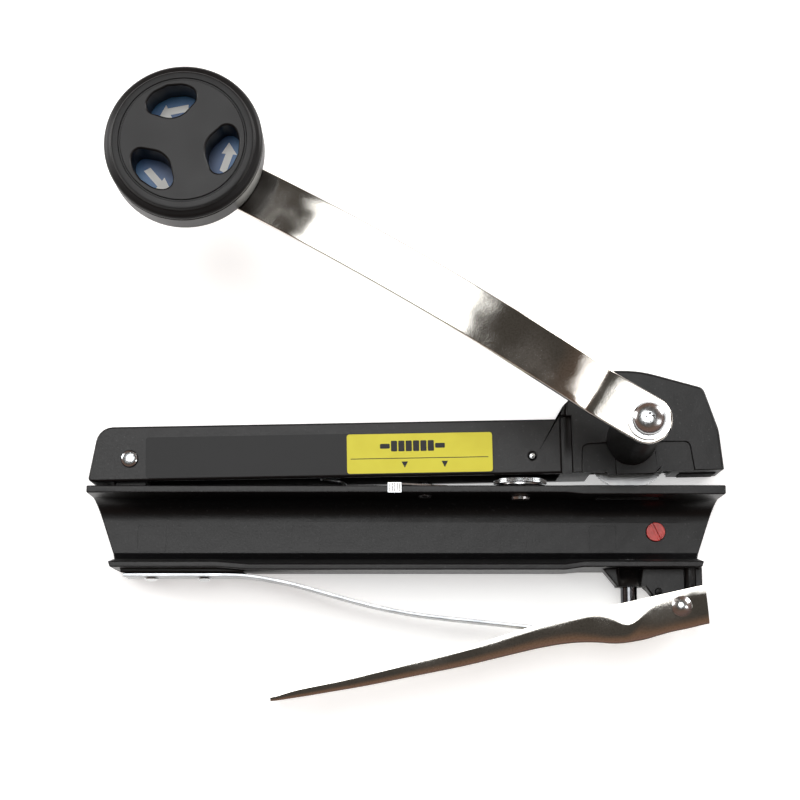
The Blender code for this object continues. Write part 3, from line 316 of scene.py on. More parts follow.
def film(name, colour, cloudier):
    """Printed film: an even colour with a clear glossy face, which ripples a little over the casting."""
    made, tree, shader = new_material(name, Roughness=0.34, Specular_IOR_Level=0.2)
    coords = add_node(tree, "ShaderNodeTexCoord").outputs["Object"]
    cloud = add_node(tree, "ShaderNodeTexNoise", {"Vector": coords, "Scale": 1 / 0.012, "Detail": 2.0})
    tone = add_node(tree, "ShaderNodeValToRGB", {"Fac": cloud.outputs["Fac"]})
    set_ramp(tone, [(0.3, srgb(cloudier)), (0.7, srgb(colour))])
    tree.links.new(tone.outputs["Color"], shader.inputs["Base Color"])
    ripple = add_node(tree, "ShaderNodeTexNoise", {"Vector": coords, "Scale": 1 / 0.006, "Detail": 1.0})
    bump = add_node(
        tree, "ShaderNodeBump", {"Height": ripple.outputs["Fac"], "Strength": 0.2, "Distance": 0.0002}
    )
    tree.links.new(bump.outputs["Normal"], shader.inputs["Normal"])
    return made


black_film = film("black_printed_film", "#09090b", "#070708")
yellow_film = film("yellow_printed_film", "#dfd83c", "#d8cf34")
white_ink = film("white_screen_ink", "#f2f2ee", "#e6e6e2")

LABEL_FACE = 0.0292
label_low, label_high = Vector((-0.106, 0.0196, 0)), Vector((0.0356, 0.0364, 0))
SPLIT = -0.0240


def flat_shape(corners, level, thickness, corner_radius=0.0, segments=5):
    """A thin flat piece with these corners, its top at the level."""
    bm = bmesh.new()
    face = bm.faces.new([bm.verts.new((x, y, level - thickness)) for x, y in corners])
    if corner_radius:
        bmesh.ops.bevel(
            bm,
            geom=bm.verts[:],
            offset=corner_radius,
            affect="VERTICES",
            segments=segments,
            profile=0.5,
            material=-1,
        )
        face = bm.faces[:][0]
    grown = bmesh.ops.extrude_face_region(bm, geom=[face])["geom"]
    top = [item for item in grown if isinstance(item, bmesh.types.BMVert)]
    bmesh.ops.translate(bm, vec=(0, 0, thickness), verts=top)
    bmesh.ops.recalc_face_normals(bm, faces=bm.faces)
    return bm


def rectangle(x0, y0, x1, y1):
    return [(x0, y0), (x1, y0), (x1, y1), (x0, y1)]


def on_label(name, bm, finish, nodes=()):
    bm.transform(ARM_REST)
    return finish_piece(name, bm, finish, "saw_arm", nodes)


bm = flat_shape(rectangle(label_low.x, label_low.y, label_high.x, label_high.y), LABEL_FACE, 0.0004, 0.0012)
on_label("label_film", bm, black_film, ["instruction_label"])
INK = 3e-5
panel = rectangle(SPLIT, label_low.y + 0.0003, label_high.x - 0.0003, label_high.y - 0.0003)
bm = flat_shape(panel, LABEL_FACE + INK, INK, 0.0011)
on_label("label_yellow_panel", bm, yellow_film)
print_level = LABEL_FACE + 2 * INK
rule = label_low.y + 0.0062
bm = flat_shape(rectangle(SPLIT + 0.0015, rule, label_high.x - 0.002, rule + 0.0003), print_level, INK)
on_label("label_rule", bm, black_film)
for number, x in enumerate((-0.0005, 0.0158), 1):
    points = [(x - 0.0013, rule - 0.0012), (x, rule - 0.0038), (x + 0.0013, rule - 0.0012)]
    bm = flat_shape(points, print_level, INK)
    on_label(f"label_size_mark_{number}", bm, black_film)
# Pictogram of a cable: six turns of armour with its thinner core showing at both ends
core_half, turn_half = 0.0010, 0.0022
cable_marks = [(-0.0105, -0.0065, core_half)]
cable_marks += [(-0.006 + 0.003 * turn, -0.0035 + 0.003 * turn, turn_half) for turn in range(6)]
cable_marks += [(0.0120, 0.0160, core_half)]
centre = rule + 0.0052
for number, (x0, x1, half) in enumerate(cable_marks, 1):
    bm = flat_shape(rectangle(x0, centre - half, x1, centre + half), print_level, INK, 0.0004, 3)
    on_label(f"label_cable_mark_{number}", bm, black_film)

# Pins, pads and bushings of the arm ------------------------------------------------------------------
# Bright turned steel pins and screws, oil-dark bronze bushings and a black rubber pad. They are bought
# parts, pressed or screwed into the castings.


def metal(name, dark, light, low, high, streak=(1.0, 1.0, 1.0), size=0.0012, depth=0.00002, **sockets):
    """A worked metal: its tone and roughness vary along the marks that working left, size across."""
    made, tree, shader = new_material(name, Metallic=1.0, **sockets)
    coords = add_node(tree, "ShaderNodeTexCoord").outputs["Object"]
    along = add_node(tree, "ShaderNodeMapping", {"Vector": coords, "Scale": streak})
    marks = add_node(
        tree, "ShaderNodeTexNoise", {"Vector": along.outputs["Vector"], "Scale": 1 / size, "Detail": 4.0}
    )
    cloud = add_node(tree, "ShaderNodeTexNoise", {"Vector": coords, "Scale": 1 / 0.008, "Detail": 2.0})
    tone = add_node(tree, "ShaderNodeValToRGB", {"Fac": cloud.outputs["Fac"]})
    set_ramp(tone, [(0.3, srgb(dark)), (0.7, srgb(light))])
    tree.links.new(tone.outputs["Color"], shader.inputs["Base Color"])
    rough = add_node(
        tree, "ShaderNodeMapRange", {"Value": marks.outputs["Fac"], "To Min": low, "To Max": high}
    )
    tree.links.new(rough.outputs["Result"], shader.inputs["Roughness"])
    bump = add_node(
        tree, "ShaderNodeBump", {"Height": marks.outputs["Fac"], "Strength": 0.3, "Distance": depth}
    )
    tree.links.new(bump.outputs["Normal"], shader.inputs["Normal"])
    return made


bright_steel = metal("zinc_plated_steel", "#b9bcbe", "#dfe1e2", 0.14, 0.30)
ground_steel = metal("ground_tool_steel", "#b4b6b8", "#d6d7d8", 0.36, 0.44)
spring_steel = metal("blued_spring_steel", "#8d9093", "#b7babc", 0.22, 0.36, (0.04, 1, 1), 0.0007)
dark_steel = metal("black_oxide_steel", "#55565a", "#77797c", 0.12, 0.25)
bronze = metal("sintered_bronze", "#7d5f3a", "#9a7a4e", 0.35, 0.55)

for node in ("stop_roll_pin", "cover_screw_1", "cover_screw_2", "cover_screw_3", "blade_washer", "blade_nut"):
    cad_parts[node].data.materials[0] = bright_steel
for node in ("crank_shaft", "crank_spacer", "knob_axle", "knob_retaining_ring", "depth_wheel_stud"):
    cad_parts[node].data.materials[0] = bright_steel
for node in ("shaft_bushing", "rear_bushing"):
    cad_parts[node].data.materials[0] = bronze
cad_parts["lever_stop_pin"].data.materials[0] = black_enamel

rubber, tree, shader = new_material("moulded_black_rubber", Roughness=0.75, IOR=1.5)
coords = add_node(tree, "ShaderNodeTexCoord").outputs["Object"]
grit = add_node(tree, "ShaderNodeTexNoise", {"Vector": coords, "Scale": 1 / 0.0005, "Detail": 2.0})
tone = add_node(tree, "ShaderNodeValToRGB", {"Fac": grit.outputs["Fac"]})
set_ramp(tone, [(0.3, srgb("#0b0b0b")), (0.7, srgb("#181818"))])
tree.links.new(tone.outputs["Color"], shader.inputs["Base Color"])
bump = add_node(tree, "ShaderNodeBump", {"Height": grit.outputs["Fac"], "Strength": 0.4, "Distance": 0.0001})
tree.links.new(bump.outputs["Normal"], shader.inputs["Normal"])
bm = copy_of("head_rest_pad")
round_edges(bm, 0.0004)
finish_piece("rubber_rest_pad", bm, rubber, "saw_arm", ["head_rest_pad"])

turned_pins = ["arm_hinge_pin", "lever_pivot_pin", "selector_rivet"]
turned_pins += ["leaf_spring_rivet_1", "leaf_spring_rivet_2"]
for node in turned_pins:
    bm = copy_of(node)
    finish_piece(f"turned_{node}", bm, bright_steel, "channel_frame", [node], 50)

# Red set screw ---------------------------------------------------------------------------------------
# A slotted steel screw in the channel's floor, its head brushed with red paint.

red_paint, tree, shader = new_material("brushed_red_paint", Roughness=0.32, IOR=1.5)
coords = add_node(tree, "ShaderNodeTexCoord").outputs["Object"]
cloud = add_node(tree, "ShaderNodeTexNoise", {"Vector": coords, "Scale": 1 / 0.002, "Detail": 2.0})
tone = add_node(tree, "ShaderNodeValToRGB", {"Fac": cloud.outputs["Fac"]})
set_ramp(tone, [(0.3, srgb("#c8261c")), (0.7, srgb("#e5382b"))])
tree.links.new(tone.outputs["Color"], shader.inputs["Base Color"])
bump = add_node(tree, "ShaderNodeBump", {"Height": cloud.outputs["Fac"], "Strength": 0.3, "Distance": 0.0001})
tree.links.new(bump.outputs["Normal"], shader.inputs["Normal"])
bm = copy_of("red_set_screw")
round_edges(bm, 0.00015, lambda edge: middle(edge).z > 0.0034)
finish_piece("painted_set_screw", bm, red_paint, "channel_frame", ["red_set_screw"])

# Crank arm -------------------------------------------------------------------------------------------
# A strip of 3 mm steel, rolled to a bow and folded flat at both ends, with rounded ends and bright nickel
# plate. Rolling left it slightly wavy, and the plate is pitted near the folds.

nickel, tree, shader = new_material("bright_nickel_plate", Metallic=1.0)
# Nickel plate: a mirror with a warm tint, dulled by pits 0.6 mm apart and bent by slow 14 mm waves.
coords = add_node(tree, "ShaderNodeTexCoord").outputs["Object"]
pits = add_node(
    tree, "ShaderNodeTexNoise", {"Vector": coords, "Scale": 1 / 0.0006, "Detail": 4.0, "Roughness": 0.7}
)
patches = add_node(tree, "ShaderNodeTexNoise", {"Vector": coords, "Scale": 1 / 0.022, "Detail": 2.0})
waves = add_node(tree, "ShaderNodeTexNoise", {"Vector": coords, "Scale": 1 / 0.014, "Detail": 1.0})
pitted = add_node(
    tree, "ShaderNodeMapRange", {"Value": patches.outputs["Fac"], "From Min": 0.42, "From Max": 0.62}
)
depth = add_node(
    tree, "ShaderNodeMath", {0: pits.outputs["Fac"], 1: pitted.outputs["Result"]}, operation="MULTIPLY"
)
tone = add_node(tree, "ShaderNodeValToRGB", {"Fac": pits.outputs["Fac"]})
set_ramp(tone, [(0.25, srgb("#cfcbc2")), (0.55, srgb("#e9e6df"))])
tree.links.new(tone.outputs["Color"], shader.inputs["Base Color"])
rough = add_node(
    tree, "ShaderNodeMapRange", {"Value": depth.outputs["Value"], "To Min": 0.05, "To Max": 0.24}
)
tree.links.new(rough.outputs["Result"], shader.inputs["Roughness"])
bump = add_node(
    tree, "ShaderNodeBump", {"Height": waves.outputs["Fac"], "Strength": 0.12, "Distance": 0.0010}
)
bump = add_node(
    tree,
    "ShaderNodeBump",
    {
        "Height": depth.outputs["Value"],
        "Strength": 0.25,
        "Distance": 0.00008,
        "Normal": bump.outputs["Normal"],
    },
)
tree.links.new(bump.outputs["Normal"], shader.inputs["Normal"])

washer_low, washer_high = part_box("crank_washer")
shaft = (washer_low + washer_high) / 2
shaft.z = 0
CRANK_ANGLE = 149.7
CRANK_REST = Matrix.Translation(shaft) @ Matrix.Rotation(math.radians(CRANK_ANGLE), 4, "Z")
STRIP_HALF = 0.0093
STRIP_THICKNESS = 0.003
STRIP_LENGTH = 0.2041
STRIP_FRONT = 0.082
KNOB_RISE = 0.006
BOW = 0.011


def bowed(along):
    """Height of the strip's front face: nearly flat under the screw, bowed, and flat under the knob."""
    first, last = 0.021, STRIP_LENGTH - 0.027
    if along <= first:
        # The flat leans a little towards its fold, where the press pulled it up.
        return 0.0007 * (max(along - 0.006, 0) / (first - 0.006)) ** 2
    if along >= last:
        return KNOB_RISE
    chord = last - first
    radius = (chord**2 / 4 + BOW**2) / (2 * BOW)
    share = (along - first) / chord
    rise = 0.0007 + (KNOB_RISE - 0.0007) * share
    return math.sqrt(radius**2 - (along - first - chord / 2) ** 2) - (radius - BOW) + rise


def folded(along, reach=0.0008):
    """The same, with each fold rounded over a millimetre or so."""
    return sum(bowed(along + reach * step / 4) for step in range(-4, 5)) / 9


bm = bmesh.new()
END_ROWS = 12
ROWS_ALONG = 140
bmesh.ops.create_grid(bm, x_segments=ROWS_ALONG, y_segments=6, size=0.5)
for vert in bm.verts:
    # Rows crowd together round each end, so that the ends stay round.
    row = round((vert.co.x + 0.5) * ROWS_ALONG)
    from_end = min(row, ROWS_ALONG - row)
    if from_end <= END_ROWS:
        along = -STRIP_HALF * math.cos(math.radians(90 * from_end / END_ROWS))
    else:
        along = STRIP_LENGTH * (from_end - END_ROWS) / (ROWS_ALONG - 2 * END_ROWS)
    if row > ROWS_ALONG / 2:
        along = STRIP_LENGTH - along
    past = max(-along, along - STRIP_LENGTH, 0.0)
    half = math.sqrt(max(STRIP_HALF**2 - past**2, 1e-10))
    vert.co = Vector((along, vert.co.y * 2 * half, STRIP_FRONT + folded(along)))
bmesh.ops.remove_doubles(bm, verts=bm.verts, dist=3e-5)
bmesh.ops.recalc_face_normals(bm, faces=bm.faces)
if bm.faces[:][0].normal.z < 0:
    bmesh.ops.reverse_faces(bm, faces=bm.faces)
bmesh.ops.solidify(bm, geom=bm.faces[:], thickness=STRIP_THICKNESS)
round_edges(bm, 0.0005, sharper=50, segments=3)
bm.transform(CRANK_REST)
finish_piece("nickel_crank_arm", bm, nickel, "crank", ["crank_arm"], 45)

# Crank screw and washer ------------------------------------------------------------------------------
# A pan-head cross-slot screw and a plain washer, both bright zinc plate, hold the arm on its shaft.


def spun(profile, steps=64):
    """A solid of revolution about Z from (radius, height) points."""
    bm = bmesh.new()
    verts = [bm.verts.new((radius, 0, height)) for radius, height in profile]
    edges = [bm.edges.new(pair) for pair in zip(verts, verts[1:])]
    full = math.radians(360)
    bmesh.ops.spin(
        bm, geom=verts + edges, cent=(0, 0, 0), axis=(0, 0, 1), angle=full, steps=steps, use_merge=True
    )
    bmesh.ops.remove_doubles(bm, verts=bm.verts, dist=1e-6)
    bmesh.ops.recalc_face_normals(bm, faces=bm.faces)
    return bm


def cut_out(bm, tool):
    """Subtracts the tool's mesh from the mesh and returns the result."""
    made = []
    for shape in (bm, tool):
        mesh = bpy.data.meshes.new("cut_shape")
        shape.to_mesh(mesh)
        shape.free()
        made.append(bpy.data.objects.new("cut_shape", mesh))
        scene.collection.objects.link(made[-1])
    cut = made[0].modifiers.new("cut", "BOOLEAN")
    cut.operation = "DIFFERENCE"
    cut.object = made[1]
    bpy.context.view_layer.update()
    result = bmesh.new()
    result.from_object(made[0], bpy.context.evaluated_depsgraph_get())
    for shape in made:
        bpy.data.objects.remove(shape, do_unlink=True)
    bmesh.ops.dissolve_limit(result, angle_limit=math.radians(0.5), verts=result.verts, edges=result.edges)
    return result


screw_low, screw_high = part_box("crank_screw")
head_foot = screw_high.z - 0.0038
head = 0.0064
bm = spun(
    [
        (0, screw_low.z),
        (0.0023, screw_low.z),
        (0.0023, head_foot),
        (head - 0.0003, head_foot),
        (head, head_foot + 0.0003),
        (head, head_foot + 0.0013),
        (head - 0.0003, head_foot + 0.0020),
        (head - 0.0011, head_foot + 0.0027),
        (head - 0.0024, head_foot + 0.0033),
        (head - 0.0042, head_foot + 0.0037),
        (0, head_foot + 0.0038),
    ]
)
for angle in (8, 98):
    # One wing of the cross at a time: wide at the mouth and narrower at its foot
    wing = bmesh.new()
    bmesh.ops.create_cube(wing, size=1.0)
    bmesh.ops.scale(wing, vec=(0.0056, 0.0014, 0.004), verts=wing.verts)
    for vert in wing.verts:
        if vert.co.z < 0:
            vert.co.x *= 0.45
            vert.co.y *= 0.75
    bmesh.ops.translate(wing, vec=(0, 0, screw_high.z + 0.0002), verts=wing.verts)
    wing.transform(Matrix.Rotation(math.radians(angle - CRANK_ANGLE), 4, "Z"))
    bm = cut_out(bm, wing)
bm.transform(CRANK_REST)
finish_piece("pan_head_screw", bm, bright_steel, "crank", ["crank_screw"])
bm = spun(
    [
        (0.0026, washer_low.z),
        (0.0079, washer_low.z),
        (0.0081, washer_low.z + 0.0002),
        (0.0081, washer_high.z - 0.0002),
        (0.0079, washer_high.z),
        (0.0026, washer_high.z),
        (0.0026, washer_low.z),
    ]
)
bm.transform(CRANK_REST)
finish_piece("plain_washer", bm, bright_steel, "crank", ["crank_washer"])

# Cutting wheel ---------------------------------------------------------------------------------------
# A thin disc of ground tool steel on the crank's shaft, with fine teeth cut in its rim.

wheel_low, wheel_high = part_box("cutting_wheel")
wheel_radius = (wheel_high.x - wheel_low.x) / 2
FINE_TEETH = 96
FINE_TOOTH_DEPTH = 0.0004
WHEEL_BORE = 0.0043
bm = bmesh.new()
bmesh.ops.create_circle(bm, cap_ends=False, radius=wheel_radius, segments=2 * FINE_TEETH)
for number, vert in enumerate(bm.verts):
    if number % 2:
        vert.co *= 1 - FINE_TOOTH_DEPTH / wheel_radius
bmesh.ops.create_circle(bm, cap_ends=False, radius=WHEEL_BORE, segments=2 * FINE_TEETH)
bmesh.ops.bridge_loops(bm, edges=bm.edges[:])
disc = bmesh.ops.extrude_face_region(bm, geom=bm.faces[:])["geom"]
lifted = [vert for vert in disc if isinstance(vert, bmesh.types.BMVert)]
bmesh.ops.translate(bm, vec=(0, 0, wheel_high.z - wheel_low.z), verts=lifted)
bmesh.ops.recalc_face_normals(bm, faces=bm.faces)
bm.transform(Matrix.Translation((shaft.x, shaft.y, wheel_low.z)))
finish_piece("fine_toothed_wheel", bm, ground_steel, "crank", ["cutting_wheel"])

# Knob ------------------------------------------------------------------------------------------------
# A two-piece black plastic knob, moulded with a satin face. The cap has a rolled rim over a groove and
# three finger holes, and a printed blue disc with arrows shows at the bottom of the holes.

knob_plastic, tree, shader = new_material("moulded_abs_black", IOR=1.53, Specular_IOR_Level=0.3)
# Moulded ABS: charcoal black, satin, with a spark-eroded grain 0.3 mm across drawn at 0.5 mm.
coords = add_node(tree, "ShaderNodeTexCoord").outputs["Object"]
grain = add_node(tree, "ShaderNodeTexNoise", {"Vector": coords, "Scale": 1 / 0.0005, "Detail": 2.0})
handled = add_node(tree, "ShaderNodeTexNoise", {"Vector": coords, "Scale": 1 / 0.012, "Detail": 3.0})
tone = add_node(tree, "ShaderNodeValToRGB", {"Fac": handled.outputs["Fac"]})
set_ramp(tone, [(0.35, srgb("#111112")), (0.7, srgb("#171718"))])
tree.links.new(tone.outputs["Color"], shader.inputs["Base Color"])
sheen = add_node(
    tree, "ShaderNodeMapRange", {"Value": handled.outputs["Fac"], "To Min": 0.34, "To Max": 0.46}
)
tree.links.new(sheen.outputs["Result"], shader.inputs["Roughness"])
bump = add_node(
    tree, "ShaderNodeBump", {"Height": grain.outputs["Fac"], "Strength": 0.2, "Distance": 0.00005}
)
tree.links.new(bump.outputs["Normal"], shader.inputs["Normal"])

cap_low, cap_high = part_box("knob_cap")
knob_centre = (cap_low + cap_high) / 2
knob_centre.z = 0
KNOB_REST = Matrix.Translation(knob_centre)
back, face = cap_low.z, cap_high.z
rim = (cap_high.x - cap_low.x) / 2
bm = spun(
    [
        (rim - 0.0032, back),
        (rim - 0.0005, back),
        (rim - 0.0001, back + 0.0004),
        (rim - 0.0001, face - 0.0060),
        (rim - 0.0006, face - 0.0057),
        (rim - 0.0006, face - 0.0050),
        (rim - 0.0001, face - 0.0047),
        (rim, face - 0.0040),
        (rim - 0.0002, face - 0.0033),
        (rim - 0.0007, face - 0.0027),
        (rim - 0.0014, face - 0.0023),
        (rim - 0.0023, face - 0.0021),
        (rim - 0.0027, face - 0.0018),
        (rim - 0.0029, face - 0.0011),
        (rim - 0.0033, face - 0.0006),
        (rim - 0.0040, face - 0.0004),
        (rim - 0.0057, face - 0.0003),
        (rim - 0.0060, face - 0.0007),
        (rim - 0.0064, face - 0.0007),
        (rim - 0.0066, face - 0.0001),
        (rim - 0.0069, face),
        (0, face),
        (0, face - 0.0028),
        (rim - 0.0043, face - 0.0036),
        (rim - 0.0034, face - 0.0052),
        (rim - 0.0032, back),
    ],
    128,
)


def finger_hole(angle, height):
    """The outline of a finger hole, filled: blunt towards the middle of the knob, wide along its rim."""
    turn = Matrix.Rotation(math.radians(angle - 2), 3, "Z")
    outline = [(7.8, 0), (14.6, -10.9), (20.4, -7.6), (21.8, 0), (20.4, 7.6), (14.6, 10.9)]
    shape = bmesh.new()
    wedge = [shape.verts.new(turn @ Vector((x * MM, y * MM, height))) for x, y in outline]
    shape.faces.new(wedge)
    for corners, size in ((wedge[:1], 0.0048), (wedge[1:2] + wedge[5:], 0.0036), (wedge[2:5:2], 0.0034)):
        bmesh.ops.bevel(
            shape, geom=corners, offset=size, affect="VERTICES", segments=8, profile=0.5, material=-1
        )
    return shape


FINGER_HOLES = (108, 228, 348)
HOLE_DEPTH = 0.006
holes = bmesh.new()
for angle in FINGER_HOLES:
    shape = finger_hole(angle, face - HOLE_DEPTH)
    mesh = bpy.data.meshes.new("hole_outline")
    shape.to_mesh(mesh)
    shape.free()
    holes.from_mesh(mesh)
    bpy.data.meshes.remove(mesh)
# Each hole goes straight up through the cap, and its mouth flares out in a small radius.
LIP = 0.0007
straight = HOLE_DEPTH - LIP
flare = [(0.3 * LIP, 0.12 * LIP), (0.4 * LIP, 0.38 * LIP), (0.3 * LIP, 0.5 * LIP), (0.001, 0)]
for height, spread in [(straight, 0)] + flare:
    tops = [f for f in holes.faces if f.normal.z > 0.9] or holes.faces[:]
    grown = bmesh.ops.extrude_face_region(holes, geom=tops)["geom"]
    if height != straight:
        bmesh.ops.delete(holes, geom=tops, context="FACES_ONLY")
    moved = [v for v in grown if isinstance(v, bmesh.types.BMVert)]
    bmesh.ops.translate(holes, vec=(0, 0, height), verts=moved)
    if spread:
        for face_of_hole in [f for f in grown if isinstance(f, bmesh.types.BMFace)]:
            heart = face_of_hole.calc_center_median()
            for vert in face_of_hole.verts:
                vert.co += (vert.co - heart).normalized() * spread
    holes.normal_update()
bmesh.ops.recalc_face_normals(holes, faces=holes.faces)
bm = cut_out(bm, holes)
bm.transform(KNOB_REST)
finish_piece("knob_shell", bm, knob_plastic, "knob", ["knob_cap"], 30)

# A wall goes down from each hole to the disc, so that a fingertip finds a smooth well.
disc_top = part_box("knob_blue_disc")[1].z
for number, angle in enumerate(FINGER_HOLES, 1):
    bm = finger_hole(angle, disc_top + 0.0002)
    raise_wall(bm, -0.0008, face - 0.0032 - disc_top)
    bm.transform(KNOB_REST)
    finish_piece(f"finger_well_{number}", bm, knob_plastic, "knob")

bm = copy_of("knob_base")
finish_piece("knob_floor", bm, knob_plastic, "knob", ["knob_base"])

blue_card, tree, shader = new_material("printed_blue_card", Roughness=0.4, IOR=1.5)
# Printed card: a screened blue that is lighter towards its rim.
coords = add_node(tree, "ShaderNodeTexCoord").outputs["Object"]
shift = add_node(tree, "ShaderNodeMapping", {"Vector": coords, "Location": -knob_centre})
ball = add_node(
    tree, "ShaderNodeVectorMath", {0: shift.outputs["Vector"], 1: (1, 1, 0)}, operation="MULTIPLY"
)
reach = add_node(tree, "ShaderNodeVectorMath", {0: ball.outputs["Vector"]}, operation="LENGTH")
share = add_node(
    tree, "ShaderNodeMapRange", {"Value": reach.outputs["Value"], "From Min": 0.008, "From Max": 0.026}
)
tone = add_node(tree, "ShaderNodeValToRGB", {"Fac": share.outputs["Result"]})
set_ramp(tone, [(0.0, srgb("#16345f")), (0.5, srgb("#2c5f98")), (1.0, srgb("#5f9cc8"))])
tree.links.new(tone.outputs["Color"], shader.inputs["Base Color"])
bm = copy_of("knob_blue_disc")
finish_piece("blue_disc", bm, blue_card, "knob", ["knob_blue_disc"])
for number, angle in enumerate(FINGER_HOLES, 1):
    # An arrow that bends with the disc, its head leading anticlockwise
    outline = [(0.0153, -16), (0.0181, -16), (0.0181, 10), (0.0197, 10)]
    outline += [(0.0167, 26), (0.0137, 10), (0.0153, 10)]
    points = []
    for reach, side in outline:
        turn = math.radians(angle - 4 + side)
        points.append((reach * math.cos(turn), reach * math.sin(turn)))
    bm = flat_shape(points, disc_top + 5e-5, 5e-5)
    bm.transform(KNOB_REST)
    finish_piece(f"turning_arrow_{number}", bm, white_ink, "knob")

# Squeeze lever ---------------------------------------------------------------------------------------
# Pressed from 1.5 mm sheet into a channel that opens towards the tool, then plated. Its back is folded
# on a soft radius, it narrows to a closed tip, and a domed rivet is its pivot.

pivot_low, pivot_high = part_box("lever_pivot_pin")
pivot = (pivot_low + pivot_high) / 2
LEVER_HALF = 0.010
upper_line = [(9.6, 8.7), (-10, 4.3), (-25, 0.9), (-36, -1.2), (-47.5, -4.0), (-64, -9.2), (-81, -14.6)]
upper_line += [(-108, -21.5), (-136, -28.7), (-156, -32.8), (-165.5, -36.4)]
lower_line = [(9.6, -6.6), (5.5, -8.2), (-6, -10.8), (-16.3, -14.0), (-26.7, -15.4), (-32, -14.7)]
lower_line += [(-39.8, -14.5), (-47.5, -15.2), (-58, -17), (-87.5, -24), (-128, -32), (-152, -36)]
lower_line += [(-165.5, -38)]


def height_on(line, x, soften=4.0):
    """Height of the line at x, its corners eased over a few millimetres."""
    total = 0.0
    for step in range(-4, 5):
        place = min(max(x + soften * step / 4, line[-1][0]), line[0][0])
        for (x0, y0), (x1, y1) in zip(line, line[1:]):
            if x1 <= place <= x0:
                total += y0 + (y1 - y0) * (place - x0) / (x1 - x0)
                break
    return total / 9


FOLD_STEPS = 9
FOLD_DEPTH = 2.6
ROWS = 2 * FOLD_STEPS + 3
bm = bmesh.new()
bmesh.ops.create_grid(bm, x_segments=90, y_segments=ROWS, size=0.5)
for vert in bm.verts:
    # Each row follows the sheet from the front lip, round the fold, across the web and back to the rear lip.
    x = 9.6 - (vert.co.x + 0.5) * (9.6 + 165.5)
    row = round((vert.co.y + 0.5) * ROWS)
    web, lip = height_on(lower_line, x), height_on(upper_line, x)
    # The sides are flat only along the lip, and further down over the plunger, where a dimple is pressed.
    share = 0.80 - 0.34 * math.exp(-(((x + 21) / 7) ** 2))
    fold = share * (lip - web)
    tuck = min(FOLD_DEPTH, 0.30 * fold)
    side = 1 if row <= ROWS // 2 else -1
    step = min(row, ROWS - row)
    turn = math.radians(90 * (step - 1) / FOLD_STEPS)
    y = lip if step == 0 else web + fold * (1 - math.sin(turn))
    inward = 0 if step == 0 else tuck * (0.35 * math.sin(turn) + 0.65 * (1 - math.cos(turn)))
    # The pivot end is sheared off a little askew.
    x += max(x + 4, 0) / 13.6 * 0.11 * (8.6 - y)
    vert.co = Vector((pivot.x + x * MM, pivot.y + y * MM, pivot.z + side * (LEVER_HALF - inward * MM)))
bmesh.ops.recalc_face_normals(bm, faces=bm.faces)
downward = min(bm.faces, key=lambda face: face.calc_center_median().y)
if downward.normal.y > 0:
    bmesh.ops.reverse_faces(bm, faces=bm.faces)
bmesh.ops.solidify(bm, geom=bm.faces[:], thickness=0.0015)
finish_piece("pressed_lever", bm, nickel, "clamp_lever_body", ["clamp_lever"], 45)

bm = copy_of("clamp_plunger")
round_edges(bm, 0.0002, sharper=30)
finish_piece("ground_plunger", bm, dark_steel, "plunger_body", ["clamp_plunger"])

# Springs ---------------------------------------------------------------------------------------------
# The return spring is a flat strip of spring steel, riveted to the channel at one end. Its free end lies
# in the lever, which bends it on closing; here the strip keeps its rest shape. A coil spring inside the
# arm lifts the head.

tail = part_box("return_leaf_spring")[1].y
route = [(-115, 0), (-70, 0), (-64, -0.2), (-47, -3.3), (-36, -6.4), (-24.7, -9.6), (-14, -12.4)]
route += [(-2.4, -14.9), (8, -16.5), (17.8, -17.6), (38, -19.7), (54.1, -21.4), (66, -22.9), (74, -24.0)]
route.reverse()
bm = bmesh.new()
bmesh.ops.create_grid(bm, x_segments=80, y_segments=1, size=0.5)
for vert in bm.verts:
    x = 74 - (vert.co.x + 0.5) * 189
    vert.co = Vector((x * MM, tail + height_on(route, x, 6.0) * MM, 0.0160 + vert.co.y * 0.015))
bmesh.ops.recalc_face_normals(bm, faces=bm.faces)
if bm.faces[:][0].normal.y < 0:
    bmesh.ops.reverse_faces(bm, faces=bm.faces)
bmesh.ops.solidify(bm, geom=bm.faces[:], thickness=0.0012)
round_edges(bm, 0.0002, sharper=60)
leaf = finish_piece("leaf_spring_strip", bm, spring_steel, None, ["return_leaf_spring"], 45)
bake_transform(leaf)

bm = copy_of("arm_return_spring")
coil = finish_piece("coil_spring", bm, spring_steel, None, ["arm_return_spring"], 60)
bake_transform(coil)

# Depth wheel -----------------------------------------------------------------------------------------
# A turned steel nut on a stud over the flange. Its rim is knurled for the fingertip, above a plain band.

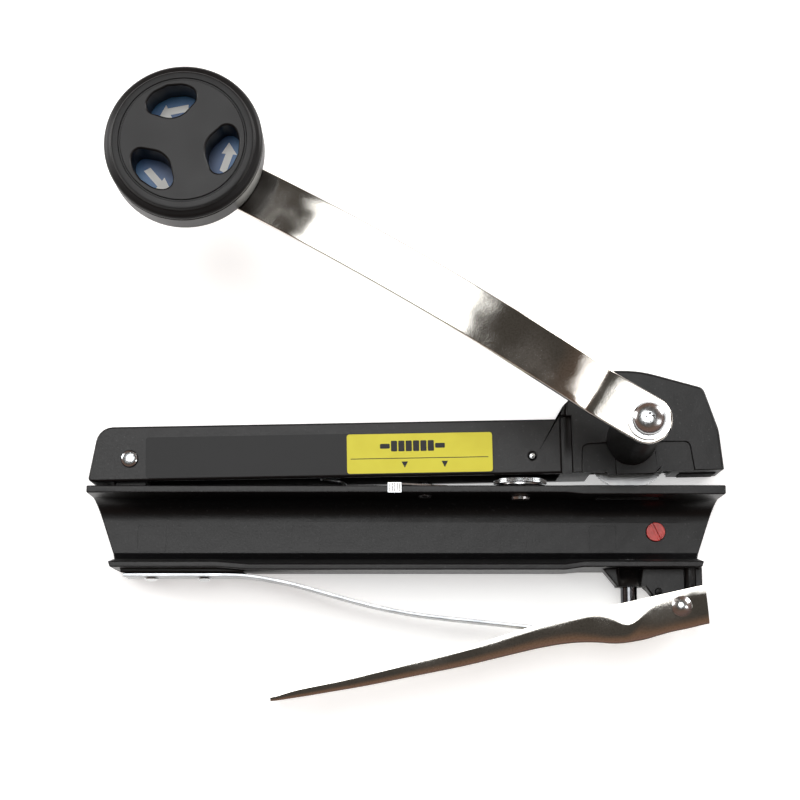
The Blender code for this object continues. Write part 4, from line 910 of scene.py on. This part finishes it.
wheel_low, wheel_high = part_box("depth_wheel")
wheel_centre = (wheel_low + wheel_high) / 2
wheel_radius = (wheel_high.x - wheel_low.x) / 2
thick = wheel_high.y - wheel_low.y
bm = spun(
    [
        (0.0027, 0),
        (wheel_radius - 0.0009, 0),
        (wheel_radius - 0.0004, 0.0004),
        (wheel_radius - 0.0004, 0.0009),
        (wheel_radius - 0.0002, 0.0011),
        (wheel_radius - 0.0002, 0.0017),
        (wheel_radius - 0.0002, 0.0023),
        (wheel_radius - 0.0002, thick - 0.0004),
        (wheel_radius - 0.0007, thick),
        (0.0027, thick),
        (0.0027, 0),
    ],
    96,
)
rim_faces = [
    face
    for face in bm.faces
    if face.calc_center_median().xy.length > wheel_radius - 0.0004
    and 0.0011 < face.calc_center_median().z < thick - 0.0004
]
poked = bmesh.ops.poke(bm, faces=rim_faces)["verts"]
for vert in poked:
    out = Vector((vert.co.x, vert.co.y, 0)).normalized()
    vert.co += out * 0.0003
upright = Matrix.Rotation(math.radians(-90), 4, "X")
bm.transform(Matrix.Translation((wheel_centre.x, wheel_low.y, wheel_centre.z)) @ upright)
finish_piece("knurled_wheel", bm, bright_steel, "wheel_body", ["depth_wheel"], 20)

# Size selector ---------------------------------------------------------------------------------------
# A pointer stamped from thin steel, riveted to the flange, with a serrated tab bent down over the front.

bm = copy_of("size_selector")
round_edges(bm, 0.0001, sharper=60, segments=1)
finish_piece("stamped_selector", bm, bright_steel, "selector_body", ["size_selector"])
selector_low, selector_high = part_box("size_selector")
for index in range(5):
    bm = bmesh.new()
    bmesh.ops.create_cone(bm, cap_ends=True, segments=6, radius1=0.0004, radius2=0.0004, depth=0.0036)
    bmesh.ops.rotate(bm, cent=(0, 0, 0), matrix=Matrix.Rotation(math.radians(90), 3, "X"), verts=bm.verts)
    place = (selector_low.x + 0.0008 + index * 0.001, selector_low.y + 0.0021, selector_high.z - 0.00005)
    bmesh.ops.translate(bm, vec=place, verts=bm.verts)
    finish_piece(f"selector_rib_{index + 1}", bm, bright_steel, "selector_body")
